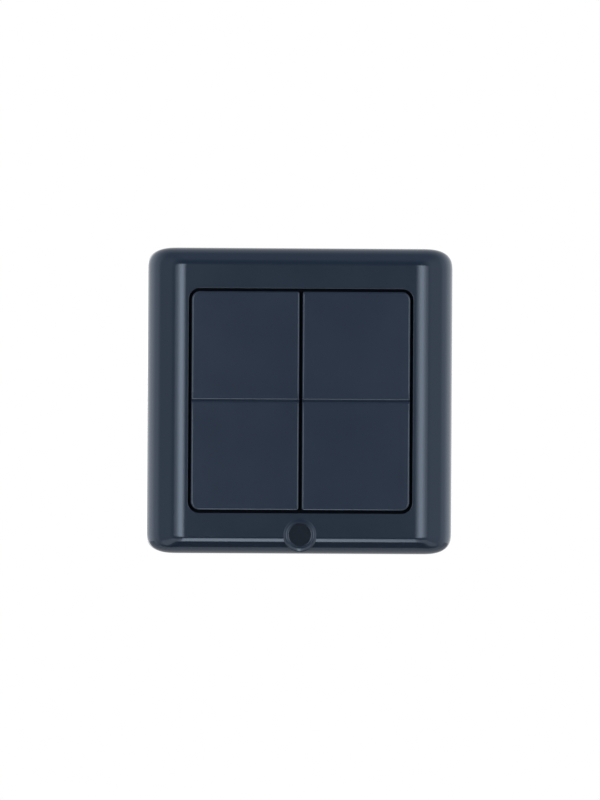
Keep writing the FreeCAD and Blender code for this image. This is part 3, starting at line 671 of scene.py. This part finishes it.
def copies_tree():
    """Tree that turns copies of a mesh about the middle of the switch."""
    tree, board, given = new_tree("turned_copies", Count="Int", Start="Float")
    spots = board.shape("MeshLine", Count=given["Count"], Offset=(0.0, 0.0, 0.0))
    turn = given["Start"] + board.shape("InputIndex") * math.tau / given["Count"]
    end_tree(board, given, spots, given["Geometry"], Rotation=board.vector(Y=turn))
    return tree


def blocks_tree():
    """Tree that puts a block on every point."""
    tree, board, given = new_tree("blocks_on_points", Size="Vector")
    end_tree(board, given, given["Geometry"], board.shape("MeshCube", Size=given["Size"]))
    return tree


def screw_tree():
    """Tree that makes a pan-head screw with a thread and a cross recess on every point.

    A point is the middle of the head's seat, and the screw's axis is square to the wall."""
    names = ("Radius", "Length", "Head", "Rise", "Pitch")
    tree, board, given = new_tree("pan_head_screws", **{name: "Float" for name in names})
    radius, reach, head, rise, pitch = [given[name] for name in names]
    core, straight, rim_rise = radius * 0.78, reach - radius, rise * 0.55

    def raised(kind, height, **sizes):
        return moved(board.shape(kind, **sizes), height)

    def moved(shape, height):
        return board.shape("Transform", Geometry=shape, Translation=board.vector(Z=height))

    tip = raised("MeshCone", -1.0 * reach, Vertices=24, Radius_Top=core, Radius_Bottom=radius * 0.3,
                 Depth=radius)
    shank = raised("MeshCylinder", -0.5 * straight, Vertices=24, Radius=core, Depth=straight)
    helix = board.shape("CurveSpiral", Resolution=20, Rotations=straight / pitch, Height=straight,
                        Start_Radius=radius * 0.86, End_Radius=radius * 0.86)
    thread = raised("CurveToMesh", radius - reach, Curve=helix, Fill_Caps=True,
                    Profile_Curve=board.circle(3, pitch * 0.26))
    cap = raised("MeshCone", rim_rise, Vertices=40, Radius_Top=head * 0.9, Radius_Bottom=head,
                 Depth=rise * 0.45)
    rim = raised("MeshCylinder", rim_rise * 0.5, Vertices=40, Radius=head, Depth=rim_rise)
    bars = [board.shape("MeshCube", Size=board.vector(X=head * across, Y=head * up, Z=rise * 1.2))
            for across, up in ((1.15, 0.2), (0.2, 1.15))]
    cross = board.shape("MeshBoolean", {"operation": "UNION"}, Mesh_2=bars)
    solid = board.shape("MeshBoolean", {"operation": "UNION"}, Mesh_2=[cap, rim])
    solid = board.shape("MeshBoolean", {"operation": "DIFFERENCE"}, Mesh_1=solid,
                        Mesh_2=moved(cross, rise * 1.2))
    screw = board.shape("JoinGeometry", Geometry=[tip, shank, thread, solid])
    end_tree(board, given, given["Geometry"],
             board.shape("Transform", Geometry=screw, Rotation=(math.pi / 2, 0.0, 0.0)))
    return tree


def solder_tree():
    """Tree that puts a low solder fillet on every point."""
    tree, board, given = new_tree("solder_fillets", Length="Float", Width="Float", Height="Float")
    drop = board.shape("MeshUVSphere", Segments=16, Rings=8, Radius=0.5)
    size = board.vector(X=given["Length"], Y=given["Height"] * 2.0, Z=given["Width"])
    end_tree(board, given, given["Geometry"], drop, Scale=size)
    return tree


def via_tree():
    """Tree that puts a plated ring on every point."""
    tree, board, given = new_tree("plated_holes", Radius="Float")
    radius = given["Radius"]
    ring = board.shape("CurveToMesh", Curve=board.circle(16, radius),
                       Profile_Curve=board.circle(6, radius * 0.3))
    end_tree(board, given, given["Geometry"], ring, Rotation=(math.pi / 2, 0.0, 0.0))
    return tree


def panel_depth(boss):
    """Depth of the frame's flat panel, from the wall."""
    return -cover_low.y - boss.proud


def rim_span(sizes, width, slope, front):
    """Depths at which the rounding between a bevel and the upright side starts and ends."""
    reach = sizes.rim_radius * math.tan((math.pi / 2 - slope) / 2)
    middle = front - width * math.tan(slope)
    return middle - reach, middle + reach * math.sin(slope)


def half_width_at(depth, sizes, width, slope, crease_radius, front):
    """Half width of the frame at a depth, from its face's section on one axis."""
    half = cover_high.x
    crease = half - width
    crease_reach = crease_radius * math.tan(slope / 2)
    crease_foot = front - crease_reach * math.sin(slope)
    rim_start, rim_end = rim_span(sizes, width, slope, front)
    if depth <= rim_start:
        return half
    if depth <= rim_end:
        return half - sizes.rim_radius + math.sqrt(sizes.rim_radius**2 - (depth - rim_start) ** 2)
    if depth <= crease_foot:
        return crease + (front - depth) / math.tan(slope)
    drop = crease_radius - (front - depth)
    return crease - crease_reach + math.sqrt(max(crease_radius**2 - drop**2, 0.0))


def crown_depths(sizes, front, rear):
    """Depths of the rings, close together on the rims and the creases."""
    spans = [rim_span(sizes, sizes.wing_width, sizes.wing_slope, front),
             rim_span(sizes, sizes.brow_width, sizes.brow_slope, front)]
    rim_start = min(start for start, end in spans)
    rim_end = max(end for start, end in spans)
    crease_drop = 0.00075
    side_steps, rim_steps, slope_steps, crease_steps = 5, 30, 8, 26
    depths = [rear + (rim_start - rear) * step / side_steps for step in range(side_steps)]
    depths += [rim_start + (rim_end - rim_start) * math.sin(math.radians(90 * step / rim_steps))
               for step in range(rim_steps)]
    slope_end = front - crease_drop
    depths += [rim_end + (slope_end - rim_end) * step / slope_steps for step in range(slope_steps)]
    depths += [front - crease_drop * (1 - step / crease_steps) ** 2 for step in range(crease_steps + 1)]
    return depths


def frame_rings(sizes, boss):
    """Rings of the frame's whole skin, from the rear edge over the face, the opening and the hollow."""
    front = panel_depth(boss)
    rear = -cover_high.y
    half = cover_high.x
    edge = sizes.rear_edge
    hip = sizes.hip_radius
    across_bend = (sizes.wing_width, sizes.wing_slope, sizes.wing_crease_radius)
    up_bend = (sizes.brow_width, sizes.brow_slope, sizes.brow_crease_radius)
    face_feet = [half - width - radius * math.tan(slope / 2) - hip
                 for width, slope, radius in (across_bend, up_bend)]
    outline_feet = (half - sizes.outline_across, half - sizes.outline_up)
    rings = [crown_ring(half - edge, half - edge, outline_feet, sizes.outline_power, rear)]
    for depth in crown_depths(sizes, front, rear + edge):
        across = half_width_at(depth, sizes, *across_bend, front)
        up = half_width_at(depth, sizes, *up_bend, front)
        share = (half - up) / (half - face_feet[1])
        feet = [outline + (face - outline) * share for outline, face in zip(outline_feet, face_feet)]
        power = sizes.outline_power + (sizes.face_power - sizes.outline_power) * share
        rings.append(crown_ring(across, up, feet, power, depth))
    opening = sizes.opening_half
    rings.append(crown_ring(across - BAND, up - BAND, feet, power, front))
    rings.append(square_ring(opening + sizes.opening_edge + BAND, opening + sizes.opening_edge + BAND,
                             sizes.opening_radius + sizes.opening_edge + BAND, front))
    for sine, cosine in quarter(6):
        out = sizes.opening_edge * (1 - sine)
        depth = front - sizes.opening_edge * (1 - cosine)
        rings.append(square_ring(opening + out, opening + out, sizes.opening_radius + out, depth))
    collar_rear = -screws_low.y - bpy.context.scene.switch_small_sizes.screw_head_height
    collar = opening + sizes.collar_wall
    collar_radius = sizes.opening_radius + sizes.collar_wall
    ceiling = front - sizes.skin
    rings.append(square_ring(opening, opening, sizes.opening_radius, collar_rear))
    rings.append(square_ring(collar, collar, collar_radius, collar_rear))
    rings.append(square_ring(collar, collar, collar_radius, ceiling))
    inner = half - sizes.skin
    crease_across = half - sizes.wing_width - sizes.skin * math.tan(sizes.wing_slope / 2)
    crease_up = half - sizes.brow_width - sizes.skin * math.tan(sizes.brow_slope / 2)
    drops = [(inner - crease_up) * math.tan(sizes.brow_slope) * step / 4 for step in range(5)]
    drops.append((inner - crease_across) * math.tan(sizes.wing_slope))
    for drop in drops:
        across = min(crease_across + drop / math.tan(sizes.wing_slope), inner)
        up = min(crease_up + drop / math.tan(sizes.brow_slope), inner)
        share = (inner - up) / (inner - crease_up)
        radius = sizes.hollow_radius + (hip - sizes.hollow_radius) * share
        rings.append(square_ring(across, up, radius, ceiling - drop))
    rings.append(square_ring(inner, inner, sizes.hollow_radius, rear))
    return rings


def boss_solid(sizes):
    """Round boss with a flat face, a rounded shoulder round it and a straight side."""
    face = -cover_low.y
    bands = ((sizes.radius - sizes.recess_radius, sizes.slope_start, sizes.slope_end, 4),
             (sizes.edge, sizes.slope_end, sizes.shoulder_start, 4),
             (sizes.foot_radius - sizes.radius - sizes.edge, sizes.shoulder_start,
              sizes.shoulder_end, 14))
    radius, depth = sizes.recess_radius, face
    profile = [(radius, depth)]
    for width, first, last, steps in bands:
        for step in range(steps):
            slope = first + (last - first) * (step + 0.5) / steps
            radius += width / steps
            depth -= width / steps * math.tan(slope)
            profile.append((radius, depth))
    profile.append((sizes.foot_radius, face - sizes.foot))
    return skinned([round_ring((0.0, -sizes.height), *point) for point in reversed(profile)])


def boss_recess(sizes):
    """What is taken away for the bare recess in the boss's face."""
    face = -cover_low.y
    radius, soft = sizes.recess_radius, sizes.recess_edge
    floor = face - sizes.recess_depth
    profile = [(radius - 2 * soft, floor)]
    profile += [(radius - soft * (1 - sine), floor + soft * (1 - cosine)) for sine, cosine in quarter(4)]
    profile += [(radius + soft * (1 - cosine), face - soft * (1 - sine)) for sine, cosine in quarter(4)]
    profile.append((radius + 2 * soft, face + soft))
    return skinned([round_ring((0.0, -sizes.height), *point) for point in profile])


class SWITCH_OT_cover_frame(bpy.types.Operator):
    """Build the frame's moulding with its opening, its hollow, and the boss with its bare recess"""

    bl_idname = "wall_switch.cover_frame"
    bl_label = "Cover frame"

    def execute(self, context):
        scene = context.scene
        boss = scene.switch_boss_sizes
        mesh = skinned(frame_rings(scene.switch_frame_sizes, boss), looped=True)
        mesh = combined(mesh, boss_solid(boss), "UNION")
        mesh = combined(mesh, boss_recess(boss), "DIFFERENCE")
        as_piece("frame_moulding", mesh, "frame_plastic", replaced=("cover_frame",), crease=20.0)
        return {"FINISHED"}


class SWITCH_OT_tongues(bpy.types.Operator):
    """Build the snap tongues and the ribs behind the frame's face"""

    bl_idname = "wall_switch.tongues"
    bl_label = "Tongues and ribs"

    def execute(self, context):
        scene = context.scene
        small = scene.switch_small_sizes
        sizes = scene.switch_frame_sizes
        ceiling = panel_depth(scene.switch_boss_sizes) - sizes.skin
        inner = carrier_high.x + small.tongue_clearance
        outer = inner + small.tongue_thickness
        point = inner - small.tongue_hook
        hook_front = -housing_low.y - small.tongue_hook_gap
        hook_rear = hook_front - small.tongue_hook_height
        profile = [(inner, ceiling + OVERLAP), (outer, ceiling + OVERLAP), (outer, hook_rear),
                   (inner, hook_rear), (point, hook_rear + small.tongue_hook_height / 2),
                   (point, hook_front), (inner, hook_front)]
        mesh = bmesh.new()
        for middle in (-small.tongue_spacing / 2, small.tongue_spacing / 2):
            add_rings(mesh, section_rings(profile, (middle - small.tongue_width / 2,
                                                    middle + small.tongue_width / 2)))
        copies = copies_tree()
        whole = grown(copies, closed_mesh(mesh), "frame_plastic", Count=4, Start=0.0)
        as_piece("frame_tongues", whole, "frame_plastic")
        wall = cover_high.x - sizes.skin / 2
        rear = ceiling - small.rib_depth
        for name, start, crease, slope in (
                ("side_ribs", 0.0, sizes.wing_width, sizes.wing_slope),
                ("end_ribs", math.pi / 2, sizes.brow_width, sizes.brow_slope)):
            bend = cover_high.x - crease - sizes.skin * math.tan(slope / 2)
            low_end = ceiling - (wall - bend) * math.tan(slope)
            profile = [(inner, ceiling + OVERLAP), (bend, ceiling + OVERLAP), (wall, low_end + OVERLAP),
                       (wall, rear), (inner, rear)]
            mesh = skinned(section_rings(profile, (-small.rib_width / 2, small.rib_width / 2)))
            ribs = grown(copies, closed_mesh(mesh), "frame_plastic", Count=2, Start=start)
            as_piece("frame_" + name, ribs, "frame_plastic")
        return {"FINISHED"}


def rocker_shell(box_low, box_high, side, sizes):
    """Shell of one rocker: face, rounded edge, skirt and the pocket behind it."""
    outer, inner = sizes.corner_radius, sizes.inner_corner_radius
    radii = [outer, outer, inner, inner] if side > 0 else [inner, inner, outer, outer]
    least_radius = 0.00008
    front = -box_low.y
    skirt_rear = front - sizes.plate - sizes.skirt

    def ring(inset, depth):
        low = (box_low.x + inset, box_low.z + inset)
        high = (box_high.x - inset, box_high.z - inset)
        inset_radii = [max(radius - inset, least_radius) for radius in radii]
        return rounded_ring(low, high, inset_radii, depth, 10, 8)

    rings = [ring(sizes.wall, front - sizes.plate), ring(sizes.wall, skirt_rear), ring(BAND, skirt_rear),
             ring(0.0, skirt_rear + BAND), ring(0.0, front - sizes.edge - BAND)]
    rings += [ring(sizes.edge * (1 - cosine), front - sizes.edge * (1 - sine))
              for sine, cosine in quarter(8)]
    rings.append(ring(sizes.edge + BAND, front))
    mesh = skinned(rings)
    bmesh.ops.recalc_face_normals(mesh, faces=mesh.faces)
    return mesh


def grooved(mesh, box_low, box_high, sizes):
    """The shell with a V groove cut across the middle of its face."""
    front = -box_low.y
    slope = math.atan2(sizes.groove_depth, sizes.groove_width / 2)
    lip = sizes.groove_lip
    reach = sizes.groove_width / 2 + lip * math.tan(slope / 2)
    lip_steps = 6
    turns = [slope * step / lip_steps for step in range(1, lip_steps + 1)]
    half = [(reach - lip * math.sin(turn), front - lip * (1 - math.cos(turn))) for turn in turns]
    above, beyond = 0.0005, 0.001
    half.insert(0, (half[0][0], front + above))
    section = half + [(0.0, front - sizes.groove_depth)] + [(-z, depth) for z, depth in reversed(half)]
    ends = (box_low.x - beyond, box_high.x + beyond)
    cutter = skinned([[Vector((x, -depth, z)) for z, depth in section] for x in ends])
    return combined(mesh, cutter, "DIFFERENCE")


def rocker_underside(mesh, centre, plate_rear, rear, pivot, sizes):
    """Ribs, posts and bearing lugs behind a rocker's face, added to its mesh."""
    blocks = blocks_tree()
    half_height = rocker_high.z - sizes.wall / 2
    half_width = (rocker_high.x - rocker_low.x) / 2 - sizes.wall / 2
    rib_middle = plate_rear - (sizes.rib_height - OVERLAP) / 2
    rib_rise = sizes.rib_height + OVERLAP
    post_rise = plate_rear + OVERLAP - rear
    post_middle = rear + post_rise / 2
    posts = [(centre, -post_middle, z) for z in (-sizes.press_arm, sizes.press_arm)]
    sets = [
        ([(centre + x, -rib_middle, 0.0) for x in (-sizes.rib_spread, sizes.rib_spread)],
         (sizes.rib_width, rib_rise, 2 * half_height)),
        ([(centre, -rib_middle, z) for z in (-sizes.rib_pitch, sizes.rib_pitch)],
         (2 * half_width, rib_rise, sizes.rib_width)),
        (posts, (2 * sizes.post_reach, post_rise, sizes.post_web)),
        (posts, (sizes.post_web, post_rise, 2 * sizes.post_reach)),
    ]
    for points, size in sets:
        mesh.from_mesh(grown(blocks, points, "rocker_plastic", Size=size))
    half_lug = sizes.lug_thickness / 2
    for out in (-1, 1):
        middle = centre + out * sizes.lug_spread
        near = middle - out * half_lug
        add_block(mesh, (middle - half_lug, -plate_rear - OVERLAP, -sizes.lug_radius),
                  (middle + half_lug, -pivot, sizes.lug_radius))
        add_level_rod(mesh, Vector((middle, -pivot, 0.0)), sizes.lug_radius, sizes.lug_thickness)
        pin_middle = near - out * (sizes.pin_length - OVERLAP) / 2
        add_level_rod(mesh, Vector((pin_middle, -pivot, 0.0)), sizes.pin_radius,
                      sizes.pin_length + OVERLAP)


class SWITCH_OT_rockers(bpy.types.Operator):
    """Build the two rockers with their grooves, skirts, ribs, posts and bearing pins"""

    bl_idname = "wall_switch.rockers"
    bl_label = "Rockers"

    def execute(self, context):
        sizes = context.scene.switch_rocker_sizes
        pivots = {joint["child"]: joint["pos_m"] for joint in frame["joints"] if "pos_m" in joint}
        for name, side in (("left_rocker", -1), ("right_rocker", 1)):
            low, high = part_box(name)
            mesh = grooved(rocker_shell(low, high, side, sizes), low, high, sizes)
            centre = (low.x + high.x) / 2
            rocker_underside(mesh, centre, -low.y - sizes.plate, -high.y, -pivots[name][1], sizes)
            as_piece(name + "_cap", mesh, "rocker_plastic", name, replaced=(name,), crease=20.0)
        return {"FINISHED"}


class SWITCH_OT_screws(bpy.types.Operator):
    """Build the two pan-head screws with their threads and cross recesses"""

    bl_idname = "wall_switch.screws"
    bl_label = "Case screws"

    def execute(self, context):
        sizes = context.scene.switch_small_sizes
        place = screws_high.x - sizes.screw_head_radius
        seat = -screws_low.y - sizes.screw_head_height
        made = grown(screw_tree(), [(-place, -seat, place), (place, -seat, -place)], "zinc_steel",
                     Radius=sizes.screw_radius, Length=seat + screws_high.y, Pitch=sizes.screw_pitch,
                     Head=sizes.screw_head_radius, Rise=sizes.screw_head_height)
        as_piece("carrier_screws", made, "zinc_steel", replaced=("case_screws",))
        return {"FINISHED"}


class SWITCH_OT_cell(bpy.types.Operator):
    """Build the coin cell with its rounded can, crimped seam and raised cap"""

    bl_idname = "wall_switch.cell"
    bl_label = "Coin cell"

    def execute(self, context):
        sizes = context.scene.switch_small_sizes
        radius, rear, front = cell_high.x, -cell_high.y, -cell_low.y
        edge, cap = sizes.cell_edge, sizes.cell_cap_radius
        crimp = 0.7 * edge
        lip = front - sizes.cell_step
        seam_width, seam_depth, chamfer = 0.00035, 0.00015, 0.00012
        dish_edge, dish_width, dish_depth, middle = 0.0009, 0.0003, 0.00008, 0.002
        steps = quarter(6)
        profile = [(radius - edge * (1 - sine), rear + edge * (1 - cosine)) for sine, cosine in steps]
        profile += [(radius - crimp * (1 - cosine), lip - crimp * (1 - sine)) for sine, cosine in steps]
        profile += [(cap + seam_width, lip), (cap + seam_depth, lip - seam_depth),
                    (cap, lip - seam_depth), (cap, front - chamfer), (cap - chamfer, front),
                    (cap - dish_edge, front), (cap - dish_edge - dish_width, front - dish_depth),
                    (middle, front - dish_depth)]
        mesh = skinned([round_ring((0.0, 0.0), *point, 96) for point in profile])
        as_piece("cell_can", mesh, "cell_steel", replaced=("coin_cell",))
        return {"FINISHED"}


class SWITCH_OT_solder(bpy.types.Operator):
    """Put solder fillets on the switches' feet and plated holes on the board"""

    bl_idname = "wall_switch.solder"
    bl_label = "Solder and plated holes"

    def execute(self, context):
        sizes = context.scene.switch_small_sizes
        front = board_low.y
        foot_out, foot_share = 0.0008, 0.375
        feet = []
        for name in ("upper_left", "upper_right", "lower_left", "lower_right"):
            low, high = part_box(name + "_switch")
            middle = (low.z + high.z) / 2
            spread = (high.z - low.z) * foot_share
            feet += [(x, front, middle + z) for x in (low.x - foot_out, high.x + foot_out)
                     for z in (-spread, spread)]
        fillets = grown(solder_tree(), feet, "solder", Length=sizes.solder_length,
                        Width=sizes.solder_width, Height=sizes.solder_height)
        as_piece("switch_solder", fillets, "solder")
        pitch = 0.0024
        side_rows = board_high.x - 0.0022
        end_rows = 0.0102
        holes = [(x, front, pitch * step - 0.0095) for step in range(9) for x in (-side_rows, side_rows)]
        holes += [(pitch * step - 0.0036, front, z) for step in range(4) for z in (end_rows, -end_rows)]
        rings = grown(via_tree(), holes, "nickel_plate", Radius=sizes.via_radius)
        as_piece("board_holes", rings, "nickel_plate")
        return {"FINISHED"}


class SWITCH_OT_finishes(bpy.types.Operator):
    """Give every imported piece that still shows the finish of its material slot"""

    bl_idname = "wall_switch.finishes"
    bl_label = "Finishes"

    def execute(self, context):
        slots = {part["node"]: part["material_slot"] for part in frame["record"]["subparts"]}
        # The carrier gets the near-black colour that paints the shade in the gaps, in place of its slot's finish
        slots["rocker_carrier"] = "carrier_painted_shade"
        for name, piece in frame["nodes"].items():
            piece.data.materials.clear()
            piece.data.materials.append(finish(slots[name]))
        return {"FINISHED"}


def aimed(name, data, place, target):
    """Object at a place that looks at a target."""
    item = linked(name, data)
    item.location = place
    item.rotation_euler = (Vector(target) - Vector(place)).to_track_quat("-Z", "Y").to_euler()
    return item


def add_lamp(name, turn, rise, reach, across, tall, brightness, *unseen_by):
    """Soft box that faces the switch, with its angles as seen from there, its brightness and the
    rays that don't see it, beside the camera's."""
    data = bpy.data.lights.new(name, "AREA")
    data.shape = "RECTANGLE"
    data.size = 2 * reach * math.tan(math.radians(across / 2))
    data.size_y = 2 * reach * math.tan(math.radians(tall / 2))
    data.energy = math.pi * brightness * data.size * data.size_y
    side, up = math.radians(turn), math.radians(rise)
    place = reach * Vector((math.sin(side) * math.cos(up), -math.cos(side) * math.cos(up), math.sin(up)))
    lamp = aimed(name, data, place, (0.0, 0.0, 0.0))
    for rays in ("camera", *unseen_by):
        setattr(lamp, "visible_" + rays, False)


def studio_world(settings):
    """Surroundings: plain white for the camera, and a light tent that is dark round the camera."""
    world = bpy.data.worlds.new("studio")
    world.use_nodes = True
    world.node_tree.nodes.clear()
    board = NodeBoard(world.node_tree)
    camera_ray, through_ray = [board.node("ShaderNodeLightPath", output="Is %s Ray" % kind)
                               for kind in ("Camera", "Transmission")]
    seen = camera_ray + through_ray
    direction = board.node("ShaderNodeTexCoord", output="Generated")
    right, depth, up = [board.part_of(direction, axis) for axis in "XYZ"]
    sideways = right * right / (right * right + up * up + 0.0001)
    side = settings.tent_side * (0.66 * depth.spread(-1.0, -0.5) + 0.48 * depth.spread(-0.45, 0.15))
    above = up.spread(0.0, 0.3)
    end = settings.tent_end * (0.22 * above * depth.spread(-0.8, -0.1) + 0.36 * depth.spread(-0.12, 0.35)
                               + 0.34 * depth.spread(0.3, 0.9))
    tent = settings.tent_front + sideways * side + (1.0 - sideways) * end
    strength = seen + (1.0 - seen) * tent
    background = board.node("ShaderNodeBackground", {"Color": (1.0, 1.0, 1.0, 1.0), "Strength": strength})
    board.node("ShaderNodeOutputWorld", {"Surface": background})
    return world


class SWITCH_OT_stage(bpy.types.Operator):
    """Set up the floor, the surroundings, the lamps and the camera"""

    bl_idname = "wall_switch.stage"
    bl_label = "Stage"

    def execute(self, context):
        scene = context.scene
        settings = scene.switch_studio
        scene.view_settings.view_transform = "Standard"
        scene.world = studio_world(settings)
        mesh = bmesh.new()
        far, thickness = 3.0, 0.02
        add_block(mesh, (-far, -settings.floor_front, -settings.floor_depth - thickness),
                  (far, far, -settings.floor_depth))
        data = bpy.data.meshes.new("studio_floor")
        mesh.to_mesh(data)
        mesh.free()
        data.materials.append(finish("floor_paint"))
        floor = linked("studio_floor", data)
        for turn, reach, share, across in SIDE_STRIPS:
            add_lamp("side_strip", turn, 0.0, reach, across, 18.0, settings.strip * share)
        for name, turn, rise, reach, share, across, tall in LOW_STRIPS:
            add_lamp(name, turn, rise, reach, across, tall, settings.low_strip * share, "diffuse")
        wide = 36.0
        solid = 4 * math.tan(math.radians(wide / 2)) ** 2
        for name, rise in (("front_fill", 5.0), ("top_fill", 65.0)):
            brightness = getattr(settings, name) * math.pi / (solid * math.cos(math.radians(rise)))
            add_lamp(name, 0.0, rise, 1.7, wide, wide, brightness, "glossy")
        data = bpy.data.cameras.new("camera")
        data.sensor_width = 36.0
        data.lens = data.sensor_width * settings.distance / settings.picture_height
        data.clip_start = 0.01
        outline = panel_depth(scene.switch_boss_sizes) - OUTLINE_DROP
        target = Vector((settings.aim_right, -outline, settings.aim_up))
        back = Vector((-math.sin(settings.view_turn), -math.cos(settings.view_turn),
                       -math.sin(settings.view_drop)))
        camera = aimed("camera", data, target + settings.distance * back, target)
        camera.rotation_euler.rotate_axis("Z", settings.roll)
        scene.camera = camera
        return {"FINISHED"}


class SWITCH_PT_panel(bpy.types.Panel):
    """Buttons for every step and the values that they use"""

    bl_label = "Wall switch"
    bl_idname = "SWITCH_PT_panel"
    bl_space_type = "VIEW_3D"
    bl_region_type = "UI"
    bl_category = "Wall switch"

    def draw(self, context):
        for step in STEPS:
            self.layout.operator(step.bl_idname)
        for name in SETTINGS:
            group = getattr(context.scene, name)
            box = self.layout.box()
            for key in group.bl_rna.properties.keys():
                if key not in ("rna_type", "name"):
                    box.prop(group, key)


SETTINGS = {
    "switch_frame_sizes": FrameSizes,
    "switch_boss_sizes": BossSizes,
    "switch_rocker_sizes": RockerSizes,
    "switch_small_sizes": SmallSizes,
    "switch_finishes": Finishes,
    "switch_studio": StudioSettings,
}
STEPS = [
    SWITCH_OT_finishes,
    SWITCH_OT_cover_frame,
    SWITCH_OT_tongues,
    SWITCH_OT_rockers,
    SWITCH_OT_screws,
    SWITCH_OT_cell,
    SWITCH_OT_solder,
    SWITCH_OT_stage,
]


def register():
    for group in SETTINGS.values():
        bpy.utils.register_class(group)
    for step in STEPS:
        bpy.utils.register_class(step)
    bpy.utils.register_class(SWITCH_PT_panel)
    for name, group in SETTINGS.items():
        setattr(bpy.types.Scene, name, bpy.props.PointerProperty(type=group))


def unregister():
    for name in SETTINGS:
        delattr(bpy.types.Scene, name)
    bpy.utils.unregister_class(SWITCH_PT_panel)
    for step in reversed(STEPS):
        bpy.utils.unregister_class(step)
    for group in reversed(list(SETTINGS.values())):
        bpy.utils.unregister_class(group)


def main():
    """Runs every step in order."""
    register()
    for step in STEPS:
        getattr(bpy.ops.wall_switch, step.bl_idname.split(".")[1])()


if __name__ == "__main__":
    main()
